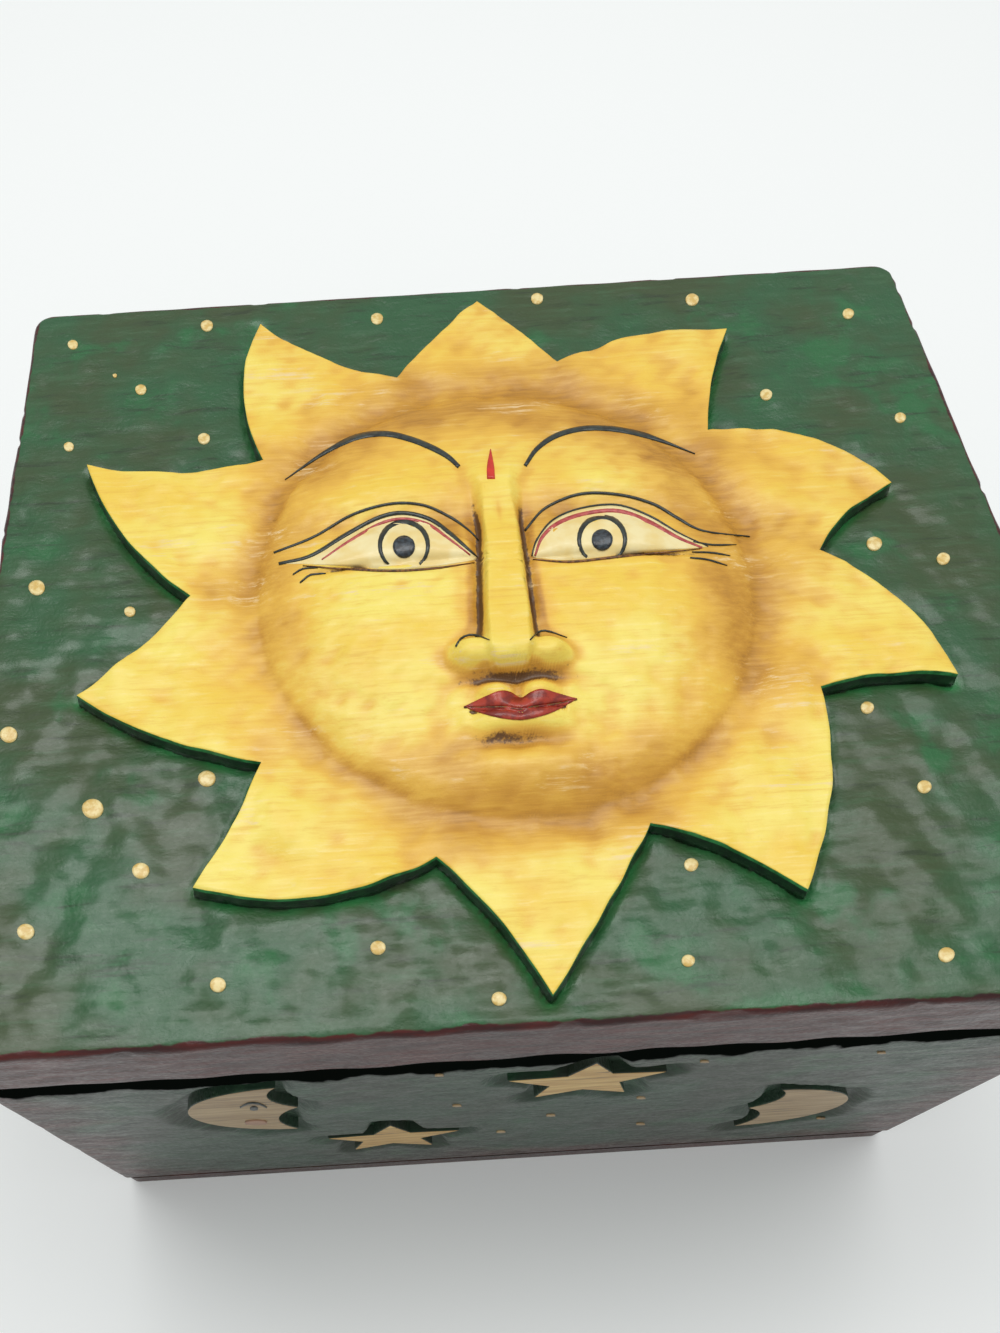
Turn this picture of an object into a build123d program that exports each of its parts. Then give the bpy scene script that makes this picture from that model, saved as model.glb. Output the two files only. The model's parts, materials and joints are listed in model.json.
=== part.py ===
from build123d import *
import os

# Wooden trinket box, millimetres. Front is -Y, up is +Z, origin at the bottom centre.

# Lid and body
WIDTH = 178.0  # lid, left to right
DEPTH = 151.0  # lid, front to back
RIM_HEIGHT = 127.0  # table to the lid's flat top
LID_THICKNESS = 19.0
LID_OVERHANG = 0.75  # lid past the walls, all round
LID_GAP = 0.5  # between the lid and the wall tops
LID_CORNER_R = 4.0
LID_ARRIS_R = 1.2
WALL_THICKNESS = 12.0
WALL_CORNER_R = 2.5
BOTTOM_THICKNESS = 6.0

# Sun relief on the lid. Each ray is its tip, then the valley after it, clockwise from the top ray,
# then how far its leading side bulges out and its trailing side sags in.
SUN_CENTRE = (-0.5, -1.5)
RAY_HEIGHT = 2.5
RAYS = [
    ((2.1, 68.6), (15.9, 49.7), 0.6, 0.5),
    ((50.2, 56.1), (41.2, 30.0), 3.0, -1.0),
    ((70.9, 15.0), (54.8, 1.4), 5.2, -1.6),
    ((70.4, -24.7), (48.3, -25.4), 3.4, -1.4),
    ((38.0, -58.7), (17.3, -46.8), 2.4, -1.3),
    ((-0.5, -71.5), (-15.1, -50.1), 0.4, -1.2),
    ((-51.0, -52.7), (-41.2, -32.6), 3.7, -0.8),
    ((-71.2, -18.5), (-53.4, -0.2), 2.0, -1.1),
    ((-73.6, 30.8), (-41.0, 29.4), 2.7, -2.5),
    ((-41.8, 65.9), (-15.3, 48.5), 3.5, -2.4),
]
FACE_RADIUS = 45.0
FACE_RISE = 4.5  # above the rays
FACE_CHEEK = (0.6, 0.68)  # a point of the dome's arc: share of its radius, share of its rise
NOSE_RISE = 5.0  # above the face
NOSE_ROOT_Y = 15.0
NOSE_TIP_Y = -16.5
NOSE_ROOT_HALF = 3.0
NOSE_WING_HALF = 9.8
NOSE_BASE_DROP = 2.5  # from the tip back to the lip
NOSE_ROOT_SINK = 1.0  # the root's top below the face's top
NOSE_ROUNDING = 1.8

# Carving on the walls: flat motifs left standing in a scooped ground
SCOOP_WIDTH = 4.0
SCOOP_DEPTH = 2.0
MOON_LEFT = (-50.5, 76.0)  # centre on the front wall: x, z
MOON_RIGHT = (55.0, 46.5)
MOON_HALF_HEIGHT = 19.0
MOON_BELLY = 10.0
MOON_FACE = 7.5
MOON_NOSE = 9.5
MOON_NOSE_AT = 0.1  # of the half height, above the middle
MOON_CHEEK = (2.5, -0.45)  # how far in from the face, and the share of the half height
MOON_BROW = (2.0, 0.5)
STAR_LOW = (-25.5, 39.0)
STAR_HIGH = (9.0, 84.5)
STAR_RADIUS = 14.0
STAR_NOTCH_RADIUS = 6.3
SIDE_MOON = (-26.0, 62.0)  # centre on a side wall: along the wall from its middle, z
SIDE_STAR = (24.0, 60.0)

# Hinges, let into the back wall and the lid
HINGE_INSET = 37.0  # middle of each hinge from the lid's end
HINGE_LENGTH = 25.0
LEAF_WIDTH = 8.5
LEAF_THICKNESS = 1.0
LEAF_FIT = 0.1  # round a leaf in its mortise
KNUCKLE_R = 1.75
KNUCKLE_LENGTH = 9.0  # the lid leaf's knuckle, in the middle
KNUCKLE_GAP = 0.15
KNUCKLE_RELIEF = 0.3  # wood and facing leaf clear of a knuckle
PIN_R = 0.65
PIN_FIT = 0.04
BACK_BEVEL_DEG = 51.0  # rear bevels that stop the open lid

# Screws and nails
SCREW_SPACING = 15.0
SCREW_FROM_AXIS = 5.3
SCREW_R = 1.0
SCREW_HEAD_R = 1.9
SCREW_LENGTH = 8.0
SCREW_SLOT = 0.4
NAIL_R = 0.8
NAIL_HEAD_R = 1.7
NAIL_HEAD_THICKNESS = 0.8
NAIL_LENGTH = 26.0
NAIL_SET = 1.0  # head below the painted face
FASTENER_FIT = 0.03
NAIL_HEIGHTS = (22.0, 56.0, 90.0)
BOTTOM_NAILS_ALONG = 3  # in each long wall
BOTTOM_NAIL_END = 26.0  # first one from the box's side
BOTTOM_NAIL_LENGTH = 19.0

# Worked out from the sizes above
body_w = WIDTH - 2 * LID_OVERHANG
body_d = DEPTH - 2 * LID_OVERHANG
lid_bottom = RIM_HEIGHT - LID_THICKNESS
wall_top = lid_bottom - LID_GAP
wall_mid_x = body_w / 2 - WALL_THICKNESS / 2
wall_mid_y = body_d / 2 - WALL_THICKNESS / 2
inside_d = body_d - 2 * WALL_THICKNESS
hinge_x = WIDTH / 2 - HINGE_INSET
hinge_y = body_d / 2 - KNUCKLE_R
hinge_z = lid_bottom - LID_GAP / 2
relief_r = KNUCKLE_R + KNUCKLE_RELIEF
knuckle_end = (HINGE_LENGTH - KNUCKLE_LENGTH) / 2 - KNUCKLE_GAP
face_top = RIM_HEIGHT + RAY_HEIGHT + FACE_RISE

os.makedirs("parts", exist_ok=True)


def finish(piece, name):
    """Labels a finished piece and writes it."""
    piece.label = name
    export_step(piece, f"parts/{name}.step")


def sun_outline():
    """The ten-rayed outline, drawn in the open line builder."""
    for i, (tip, valley, bulge, sag) in enumerate(RAYS):
        before = RAYS[i - 1][1]
        SagittaArc(before, tip, bulge)
        SagittaArc(tip, valley, sag)


def star_points(centre):
    """Corners of a five-pointed star, one point up."""
    turns = [Vector(0, STAR_RADIUS if i % 2 == 0 else STAR_NOTCH_RADIUS).rotate(Axis.Z, 36 * i) for i in range(10)]
    return [(centre[0] + p.X, centre[1] + p.Y) for p in turns]


def moon_outline(centre, facing):
    """A crescent with a nose on its inner side. facing is 1 for looking to +x, else -1."""
    x, z = centre

    def at(dx, dz):
        return (x + facing * dx, z + dz)

    ThreePointArc(at(MOON_FACE, MOON_HALF_HEIGHT), at(-MOON_BELLY, 0), at(MOON_FACE, -MOON_HALF_HEIGHT))
    nose = at(MOON_NOSE, MOON_HALF_HEIGHT * MOON_NOSE_AT)
    cheek, brow = (at(MOON_FACE - inset, MOON_HALF_HEIGHT * share) for inset, share in (MOON_CHEEK, MOON_BROW))
    ThreePointArc(at(MOON_FACE, -MOON_HALF_HEIGHT), cheek, nose)
    ThreePointArc(nose, brow, at(MOON_FACE, MOON_HALF_HEIGHT))


def moon_scoop(plane, centre, facing):
    """The ground cut away round one crescent on a wall's face."""
    with BuildPart() as cut:
        with BuildSketch(plane) as ground:
            with BuildLine():
                moon_outline(centre, facing)
            make_face()
            moon = ground.sketch_local.faces()
            offset(amount=SCOOP_WIDTH, kind=Kind.ARC)
            add(moon, mode=Mode.SUBTRACT)
        extrude(amount=-SCOOP_DEPTH)
    return cut.part


def star_scoop(plane, centre):
    """The ground cut away round one star on a wall's face."""
    with BuildPart() as cut:
        with BuildSketch(plane) as ground:
            with BuildLine():
                Polyline(*star_points(centre), close=True)
            make_face()
            star = ground.sketch_local.faces()
            offset(amount=SCOOP_WIDTH, kind=Kind.ARC)
            add(star, mode=Mode.SUBTRACT)
        extrude(amount=-SCOOP_DEPTH)
    return cut.part


def wall_plane(origin, across):
    """A wall's outer face, drawn with x along the wall and y up."""
    return Plane(origin=origin, x_dir=across, z_dir=Vector(across).cross(Vector(0, 0, 1)))


def screw_spots(side, up):
    """Screw places of one hinge leaf. up is 1 for the lid's leaf, -1 for the body's."""
    z = hinge_z + up * (LID_GAP / 2)
    y = hinge_y - SCREW_FROM_AXIS
    return [(side * hinge_x + dx, y, z) for dx in (-SCREW_SPACING / 2, SCREW_SPACING / 2)]


def screw_profile(grow):
    """Corners of a screw's half section, head at the origin and shank along -y."""
    reach = -SCREW_LENGTH - grow
    return [
        (0, 0),
        (SCREW_HEAD_R + grow, 0),
        (SCREW_R + grow, -(SCREW_HEAD_R - SCREW_R)),
        (SCREW_R + grow, reach + SCREW_R),
        (0, reach),
    ]


def screws_at(places, up, grow=0.0):
    """Screws with their heads at the given places. up is 1 for shanks that point up."""
    with BuildPart() as screws:
        for place in places:
            along = Plane(origin=place, x_dir=(up, 0, 0), z_dir=(0, 1, 0))
            with BuildSketch(along):
                with BuildLine():
                    Polyline(*screw_profile(grow), close=True)
                make_face()
            revolve(axis=Axis(place, (0, 0, 1)))
    return screws.part


def nails_at(planes, length, grow=0.0):
    """Nails with their heads on the given planes, driven along each plane's -z."""
    with BuildPart() as nails:
        for head in planes:
            with BuildSketch(head):
                Circle(NAIL_HEAD_R + grow)
            extrude(amount=-NAIL_HEAD_THICKNESS)
            with BuildSketch(head.offset(-NAIL_HEAD_THICKNESS)):
                Circle(NAIL_R + grow)
            extrude(amount=-(length - NAIL_HEAD_THICKNESS + grow))
    return nails.part


def corner_nail_planes(face):
    """Head planes of the nails in the front wall (face -1) or the back wall (face 1)."""
    y = face * (body_d / 2 - NAIL_SET)
    return [
        Plane(origin=(side * wall_mid_x, y, height), x_dir=(1, 0, 0), z_dir=(0, face, 0))
        for side in (-1, 1)
        for height in NAIL_HEIGHTS
    ]


def bottom_nail_planes():
    """Head planes of the nails under the bottom board: a row in each long wall, one in each side wall."""
    run = body_w - 2 * BOTTOM_NAIL_END
    step = run / (BOTTOM_NAILS_ALONG - 1)
    spots = [(-run / 2 + i * step, face * wall_mid_y) for face in (-1, 1) for i in range(BOTTOM_NAILS_ALONG)]
    spots += [(side * wall_mid_x, 0) for side in (-1, 1)]
    return [Plane(origin=(x, y, NAIL_SET), x_dir=(1, 0, 0), z_dir=(0, 0, -1)) for x, y in spots]


def hinge_relief(side):
    """Wood cleared round one hinge's knuckles."""
    with BuildPart() as clear:
        with BuildSketch(Plane.YZ.offset(side * hinge_x)):
            with Locations((hinge_y, hinge_z)):
                Circle(relief_r)
        extrude(amount=HINGE_LENGTH / 2 + KNUCKLE_RELIEF, both=True)
    return clear.part


def leaf_mortise(side, up):
    """Recess for one hinge leaf, open towards the knuckles. up is 1 in the lid, -1 in the wall."""
    with BuildPart() as recess:
        with BuildSketch(Plane.XY.offset(hinge_z + up * LID_GAP / 2)):
            with Locations((side * hinge_x, hinge_y - LEAF_WIDTH / 2 - LEAF_FIT / 2)):
                Rectangle(HINGE_LENGTH + 2 * LEAF_FIT, LEAF_WIDTH + LEAF_FIT)
        extrude(amount=up * LEAF_THICKNESS)
    return recess.part


def back_bevel(up):
    """Wedge cut off the lid's (up 1) or back wall's (up -1) rear edge, its face through the hinge axis."""
    reach = DEPTH
    with BuildPart() as wedge:
        with BuildSketch(Plane.YZ):
            with BuildLine():
                slope = Vector(reach, 0).rotate(Axis.Z, up * BACK_BEVEL_DEG)
                Polyline(
                    (hinge_y, hinge_z),
                    (hinge_y + slope.X, hinge_z + slope.Y),
                    (hinge_y + slope.X, hinge_z),
                    close=True,
                )
            make_face()
        extrude(amount=WIDTH, both=True)
    return wedge.part


# Nose, a wedge that stands on the face
with BuildPart() as nose:
    with BuildSketch(Plane.YZ):
        with BuildLine():
            Polyline(
                (NOSE_ROOT_Y, RIM_HEIGHT),
                (NOSE_ROOT_Y, face_top - NOSE_ROOT_SINK),
                (NOSE_TIP_Y, face_top + NOSE_RISE),
                (NOSE_TIP_Y - NOSE_BASE_DROP, face_top),
                (NOSE_TIP_Y - NOSE_BASE_DROP, RIM_HEIGHT),
                close=True,
            )
        make_face()
    extrude(amount=NOSE_WING_HALF, both=True)
    with BuildSketch(Plane.XY.offset(RIM_HEIGHT)):
        with BuildLine():
            Polyline(
                (-NOSE_ROOT_HALF, NOSE_ROOT_Y),
                (NOSE_ROOT_HALF, NOSE_ROOT_Y),
                (NOSE_WING_HALF, NOSE_TIP_Y - NOSE_BASE_DROP),
                (-NOSE_WING_HALF, NOSE_TIP_Y - NOSE_BASE_DROP),
                close=True,
            )
        make_face()
    extrude(amount=face_top - RIM_HEIGHT + NOSE_RISE, mode=Mode.INTERSECT)
    fillet(nose.faces().sort_by(Axis.Z)[-1].edges().filter_by(Axis.X, reverse=True), NOSE_ROUNDING)

# Lid board with the carved sun
with BuildPart() as lid_board:
    with BuildSketch(Plane.XY.offset(lid_bottom)):
        RectangleRounded(WIDTH, DEPTH, LID_CORNER_R)
    extrude(amount=LID_THICKNESS)
    rims = lid_board.faces().filter_by(Axis.Z)
    fillet(rims.edges(), LID_ARRIS_R)
    with BuildSketch(Plane.XY.offset(RIM_HEIGHT)):
        with BuildLine():
            sun_outline()
        make_face()
    extrude(amount=RAY_HEIGHT)
    with BuildSketch(Plane(origin=(*SUN_CENTRE, RIM_HEIGHT), x_dir=(1, 0, 0), z_dir=(0, -1, 0))):
        with BuildLine():
            rise = RAY_HEIGHT + FACE_RISE
            cheek = (FACE_RADIUS * FACE_CHEEK[0], RAY_HEIGHT + FACE_RISE * FACE_CHEEK[1])
            Line((0, 0), (0, rise))
            ThreePointArc((0, rise), cheek, (FACE_RADIUS, RAY_HEIGHT))
            Line((FACE_RADIUS, RAY_HEIGHT), (FACE_RADIUS, 0))
            Line((FACE_RADIUS, 0), (0, 0))
        make_face()
    revolve(axis=Axis((*SUN_CENTRE, 0), (0, 0, 1)))
    add(nose.part)
    add(back_bevel(1), mode=Mode.SUBTRACT)
    for side in (-1, 1):
        add(hinge_relief(side), mode=Mode.SUBTRACT)
        add(leaf_mortise(side, 1), mode=Mode.SUBTRACT)
        add(screws_at(screw_spots(side, 1), 1, FASTENER_FIT), mode=Mode.SUBTRACT)
finish(lid_board.part, "lid_board")

# Front wall, over the side walls' ends
with BuildPart() as front_wall:
    with BuildSketch(Plane.XY.offset(BOTTOM_THICKNESS)):
        with Locations((0, -wall_mid_y)):
            Rectangle(body_w, WALL_THICKNESS)
    extrude(amount=wall_top - BOTTOM_THICKNESS)
    corners = front_wall.edges().filter_by(Axis.Z).group_by(Axis.Y)[0]
    fillet(corners, WALL_CORNER_R)
    front_face = wall_plane((0, -body_d / 2, 0), (1, 0, 0))
    for centre, facing in ((MOON_LEFT, 1), (MOON_RIGHT, -1)):
        add(moon_scoop(front_face, centre, facing), mode=Mode.SUBTRACT)
    for centre in (STAR_LOW, STAR_HIGH):
        add(star_scoop(front_face, centre), mode=Mode.SUBTRACT)
    add(nails_at(corner_nail_planes(-1), NAIL_LENGTH, FASTENER_FIT), mode=Mode.SUBTRACT)
    add(nails_at(bottom_nail_planes(), BOTTOM_NAIL_LENGTH, FASTENER_FIT), mode=Mode.SUBTRACT)
finish(front_wall.part, "front_wall")

# Back wall, which carries the hinges
with BuildPart() as back_wall:
    with BuildSketch(Plane.XY.offset(BOTTOM_THICKNESS)):
        with Locations((0, wall_mid_y)):
            Rectangle(body_w, WALL_THICKNESS)
    extrude(amount=wall_top - BOTTOM_THICKNESS)
    corners = back_wall.edges().filter_by(Axis.Z).group_by(Axis.Y)[-1]
    fillet(corners, WALL_CORNER_R)
    add(back_bevel(-1), mode=Mode.SUBTRACT)
    for side in (-1, 1):
        add(hinge_relief(side), mode=Mode.SUBTRACT)
        add(leaf_mortise(side, -1), mode=Mode.SUBTRACT)
        add(screws_at(screw_spots(side, -1), -1, FASTENER_FIT), mode=Mode.SUBTRACT)
    add(nails_at(corner_nail_planes(1), NAIL_LENGTH, FASTENER_FIT), mode=Mode.SUBTRACT)
    add(nails_at(bottom_nail_planes(), BOTTOM_NAIL_LENGTH, FASTENER_FIT), mode=Mode.SUBTRACT)
finish(back_wall.part, "back_wall")

# Side walls, between the front and back walls
for side, name in ((-1, "left_wall"), (1, "right_wall")):
    with BuildPart() as side_wall:
        with BuildSketch(Plane.XY.offset(BOTTOM_THICKNESS)):
            with Locations((side * wall_mid_x, 0)):
                Rectangle(WALL_THICKNESS, inside_d)
        extrude(amount=wall_top - BOTTOM_THICKNESS)
        outer_face = wall_plane((side * body_w / 2, 0, 0), (0, side, 0))
        add(moon_scoop(outer_face, SIDE_MOON, 1), mode=Mode.SUBTRACT)
        add(star_scoop(outer_face, SIDE_STAR), mode=Mode.SUBTRACT)
        for face in (-1, 1):
            add(nails_at(corner_nail_planes(face), NAIL_LENGTH, FASTENER_FIT), mode=Mode.SUBTRACT)
        add(nails_at(bottom_nail_planes(), BOTTOM_NAIL_LENGTH, FASTENER_FIT), mode=Mode.SUBTRACT)
    finish(side_wall.part, name)

# Bottom board, under the walls
with BuildPart() as bottom_board:
    with BuildSketch(Plane.XY):
        RectangleRounded(body_w, body_d, WALL_CORNER_R)
    extrude(amount=BOTTOM_THICKNESS)
    add(nails_at(bottom_nail_planes(), BOTTOM_NAIL_LENGTH, FASTENER_FIT), mode=Mode.SUBTRACT)
    for head in bottom_nail_planes():
        with BuildSketch(head):
            Circle(NAIL_HEAD_R + FASTENER_FIT)
        extrude(amount=NAIL_SET, mode=Mode.SUBTRACT)
finish(bottom_board.part, "bottom_board")


def hinge_leaf(side, up):
    """One hinge leaf with its knuckles. The lid's leaf has the middle one, the body's the two outer ones."""
    middle = side * hinge_x
    outer = HINGE_LENGTH / 2 - knuckle_end / 2
    own = [(middle, KNUCKLE_LENGTH)] if up == 1 else [(middle - outer, knuckle_end), (middle + outer, knuckle_end)]
    facing = [(middle - outer, knuckle_end), (middle + outer, knuckle_end)] if up == 1 else [(middle, KNUCKLE_LENGTH)]
    with BuildPart() as leaf:
        with BuildSketch(Plane.XY.offset(hinge_z + up * LID_GAP / 2)):
            with Locations((middle, hinge_y - LEAF_WIDTH / 2)):
                Rectangle(HINGE_LENGTH, LEAF_WIDTH)
        extrude(amount=up * LEAF_THICKNESS)
        for x, length in facing:
            with BuildSketch(Plane.YZ.offset(x)):
                with Locations((hinge_y, hinge_z)):
                    Circle(relief_r)
            extrude(amount=length / 2 + KNUCKLE_GAP, both=True, mode=Mode.SUBTRACT)
        for x, length in own:
            with BuildSketch(Plane.YZ.offset(x)):
                with Locations((hinge_y, hinge_z)):
                    Circle(KNUCKLE_R)
            extrude(amount=length / 2, both=True)
        with BuildSketch(Plane.YZ.offset(middle)):
            with Locations((hinge_y, hinge_z)):
                Circle(PIN_R + PIN_FIT)
        extrude(amount=HINGE_LENGTH, both=True, mode=Mode.SUBTRACT)
        add(screws_at(screw_spots(side, up), up, FASTENER_FIT), mode=Mode.SUBTRACT)
    return leaf.part


for side, hand in ((-1, "left"), (1, "right")):
    finish(hinge_leaf(side, -1), f"{hand}_hinge_body_leaf")
    finish(hinge_leaf(side, 1), f"{hand}_hinge_lid_leaf")
    with BuildPart() as hinge_pin:
        with BuildSketch(Plane.YZ.offset(side * hinge_x)):
            with Locations((hinge_y, hinge_z)):
                Circle(PIN_R)
        extrude(amount=HINGE_LENGTH / 2, both=True)
    finish(hinge_pin.part, f"{hand}_hinge_pin")
    for up, leaf_name in ((-1, "body"), (1, "lid")):
        with BuildPart() as leaf_screws:
            add(screws_at(screw_spots(side, up), up))
            for place in screw_spots(side, up):
                with BuildSketch(Plane(origin=place, x_dir=(1, 0, 0), z_dir=(0, 0, -up))):
                    Rectangle(2 * SCREW_HEAD_R, SCREW_SLOT)
                extrude(amount=-SCREW_SLOT, mode=Mode.SUBTRACT)
        finish(leaf_screws.part, f"{hand}_{leaf_name}_leaf_screws")

finish(nails_at(corner_nail_planes(-1), NAIL_LENGTH), "front_nails")
finish(nails_at(corner_nail_planes(1), NAIL_LENGTH), "back_nails")
finish(nails_at(bottom_nail_planes(), BOTTOM_NAIL_LENGTH), "bottom_nails")
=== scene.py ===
import json
import math

import bmesh
import bpy
import numpy as np
from mathutils import Matrix, Vector
from mathutils.bvhtree import BVHTree
from mathutils.kdtree import KDTree


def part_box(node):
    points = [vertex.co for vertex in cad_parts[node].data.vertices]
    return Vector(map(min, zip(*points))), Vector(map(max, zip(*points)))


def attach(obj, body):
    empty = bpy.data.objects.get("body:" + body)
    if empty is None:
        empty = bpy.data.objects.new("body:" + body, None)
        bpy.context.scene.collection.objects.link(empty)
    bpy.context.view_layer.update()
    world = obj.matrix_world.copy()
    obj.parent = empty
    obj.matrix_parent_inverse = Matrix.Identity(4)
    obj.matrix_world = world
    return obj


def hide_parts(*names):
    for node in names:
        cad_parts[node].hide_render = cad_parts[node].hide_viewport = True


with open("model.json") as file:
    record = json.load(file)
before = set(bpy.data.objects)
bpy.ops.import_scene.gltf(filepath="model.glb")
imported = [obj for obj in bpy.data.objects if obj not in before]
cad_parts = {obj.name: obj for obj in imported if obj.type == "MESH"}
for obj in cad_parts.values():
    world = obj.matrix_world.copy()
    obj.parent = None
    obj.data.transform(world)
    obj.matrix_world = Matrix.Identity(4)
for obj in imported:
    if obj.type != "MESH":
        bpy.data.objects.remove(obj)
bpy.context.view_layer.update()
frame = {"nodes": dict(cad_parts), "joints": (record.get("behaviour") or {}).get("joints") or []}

# Sizes are in millimetres until a mesh is finished, and MM turns them to metres. The boards' sizes come from
# the frame. The rim's height, the lid's round corners, the rays, the moons, the stars, the scoops' depth and
# the bevel behind the hinges have the same values as in the part's source.
MM = 0.001
lid_low, lid_high = (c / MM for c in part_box("lid_board"))
front_low, front_high = (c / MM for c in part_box("front_wall"))
RIM_HEIGHT = 127.0
LID_BOTTOM = lid_low.z
WALL_BOTTOM = front_low.z
WALL_TOP = front_high.z
LID_HALF_W = lid_high.x
LID_HALF_D = lid_high.y
BODY_HALF_W = front_high.x
BODY_HALF_D = -front_low.y
SIDE_HALF_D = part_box("right_wall")[1].y / MM
WALL_THICKNESS = front_high.y - front_low.y
LID_CORNER_R = 4.0
LID_ARRIS_R = 1.2
BOARD_END_R = 1.0
WALL_ARRIS_R = 0.9

# Carved boards: mesh pitch, how far hand-cut edges wander and chip, and how far faces lie under their box
CARVE_PITCH = 0.75
SIDE_RING_PITCH = 1.3
EDGE_WAVE = 0.16
EDGE_WAVE_LENGTH = 11.0
CHIP_DEPTH = 0.5
CHIP_LENGTH = 9.0
CHIP_HEIGHT = 1.6
LID_SET_BACK = 0.12
WALL_SET_BACK = 0.05
GROUND_UNDER_SUN = 0.6

# The sun's outline: each ray's tip, the valley after it, and how far its two sides bulge
RAY_HEIGHT = 2.5
RAYS = [
    ((2.1, 68.6), (15.9, 49.7), 0.6, 0.5),
    ((50.2, 56.1), (41.2, 30.0), 3.0, -1.0),
    ((70.9, 15.0), (54.8, 1.4), 5.2, -1.6),
    ((70.4, -24.7), (48.3, -25.4), 3.4, -1.4),
    ((38.0, -58.7), (17.3, -46.8), 2.4, -1.3),
    ((-0.5, -71.5), (-15.1, -50.1), 0.4, -1.2),
    ((-51.0, -52.7), (-41.2, -32.6), 3.7, -0.8),
    ((-71.2, -18.5), (-53.4, -0.2), 2.0, -1.1),
    ((-73.6, 30.8), (-41.0, 29.4), 2.7, -2.5),
    ((-41.8, 65.9), (-15.3, 48.5), 3.5, -2.4),
]
SIDE_STEPS = 40  # points along each side of a ray
RING_STEPS = 108  # rings from the sun's centre to its outline
SUN_SIDE = [(0.06, -0.10), (0.12, -0.35), (0.16, -0.9), (0.25, -1.6), (0.4, -2.3), (0.5, -3.4)]  # out, down
HALO_WIDTH = 1.3  # of the bright green along the sun's foot

# The sun's face: an ellipse that swells from the rays, in a sunk ring
SUN_CENTRE = np.array((-0.5, -1.5))
FACE_CENTRE_Y = -1.0
FACE_HALF_W = 42.0
FACE_HALF_H = 43.5
FACE_RISE = 4.5
FACE_FLATNESS = 2.3
RING_DEPTH = 0.9
RING_AT = 1.04  # of the way from the face's centre to its rim
RING_WIDTH = 0.075

# Swellings and hollows of the face: rise, centre, reach and, above 1, how flat the top is
FACE_FORMS = {
    "forehead": (0.7, (0, 24), (30, 9)),
    "left brow": (0.8, (-19, 17), (15, 4.5)),
    "right brow": (0.8, (19, 17), (15, 4.5)),
    "left eye socket": (-1.25, (-18, 9.6), (15, 3.6)),
    "right eye socket": (-1.25, (18, 9.6), (15, 3.6)),
    "left cheek": (1.0, (-24, -11), (12, 11)),
    "right cheek": (1.0, (24, -11), (12, 11)),
    "left smile fold": (-0.7, (-12.5, -28), (4.0, 7)),
    "right smile fold": (-0.7, (12.5, -28), (4.0, 7)),
    "chin": (1.1, (-1.0, -37.5), (9.5, 4.5)),
    "hollow above the chin": (-1.0, (-0.8, -33.4), (7.5, 1.7)),
    "left plane under the nose": (1.6, (-3.9, -25.2), (2.5, 2.1), 1.4),
    "right plane under the nose": (1.6, (2.9, -25.2), (2.5, 2.1), 1.4),
    "upper lip": (0.9, (-0.5, -27.9), (7.5, 1.3), 1.5),
    "lower lip": (1.5, (-0.5, -30.0), (6.6, 1.9), 1.6),
}
EYES = ((-18.0, 1.2), (18.5, 0.3))  # middle and straight lower edge
EYE_HALF_WIDTH = 15.5
EYE_HEIGHT = 9.0
EYE_BULGE = 1.3
EYE_CUT_DEPTH = 0.6
EYE_CUT_WIDTH = 0.55
MOUTH = (-0.5, -28.7)
MOUTH_HALF_WIDTH = 7.6
MOUTH_CUT_DEPTH = 0.7
MOUTH_CUT_WIDTH = 0.45

# The nose from its foot to its root: places up the face, then the value at each
NOSE_MIDDLE = ((-22, 6, 25), (-1.2, 0.1, 0.2))
NOSE_HALF_WIDTH = ((-22, -19, -14, 6, 16, 26), (2.8, 4.2, 3.9, 3.2, 3.4, 6.0))
NOSE_RISE = ((-22.6, -21.6, -20.6, -19.0, -10, 6, 16, 26), (0, 2.2, 4.2, 4.8, 3.9, 3.0, 1.7, 0))
NOSE_SLOPE = ((-19, -12, 8, 24), (3.0, 1.5, 1.3, 5.0))
NOSE_ROUNDING = 0.9
NOSE_CUT_DEPTH = 0.7
NOSE_CUT_WIDTH = 0.8
WINGS = ((-6.6, -18.3), (4.6, -18.8))
WING_RISE = 3.7
WING_REACH = (4.0, 2.7)

# Painted shade laid with the brown wash: amount, centre and reach
PAINTED_SHADE_SPOTS = {
    "top of the forehead": (0.22, (0, 33), (40, 9)),
    "under the chin": (0.2, (0, -41), (22, 7)),
    "right temple": (0.25, (36, -8), (8, 18)),
    "left of the nose's root": (0.45, (-8, 8), (4.5, 8)),
    "right of the nose's root": (0.45, (8, 8), (4.5, 8)),
    "left eye socket": (0.20, (-18, 11), (16, 3.5)),
    "right eye socket": (0.20, (18, 11), (16, 3.5)),
    "left of the nose": (0.3, (-7.3, -8), (2.2, 12)),
    "right of the nose": (0.3, (5.7, -8), (2.2, 12)),
    "under the nose": (0.6, (-1, -23.0), (8.5, 1.6)),
    "under the lips": (0.45, (-1.5, -33.0), (8, 2.2)),
}
# Painted shade round the face's sunk rim, less of it on the cheeks, and in the valleys between the rays
RIM_SHADE = 0.55
RIM_CLEARINGS = {"left cheek": (0.6, (-31, -26), (17, 15)), "right cheek": (0.4, (30, -28), (12, 12))}
VALLEY_SHADE = 0.24
VALLEY_REACH = (6, 6)
# The darkest brown under the nose and lips, partly dirt and partly painted shade, and the spot on the nose's
# tip kept free of it
CREASE_DIRT_AND_SHADE = {
    "under the nose": (0.45, (-1, -22.9), (8.5, 1.2)),
    "under the lips": (0.38, (-4.5, -32.3), (5, 1.3)),
}
NOSE_TIP_UNDARKENED = {"nose tip": (0.85, (-1, -18.5), (10, 3.4), 2.0)}

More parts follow.
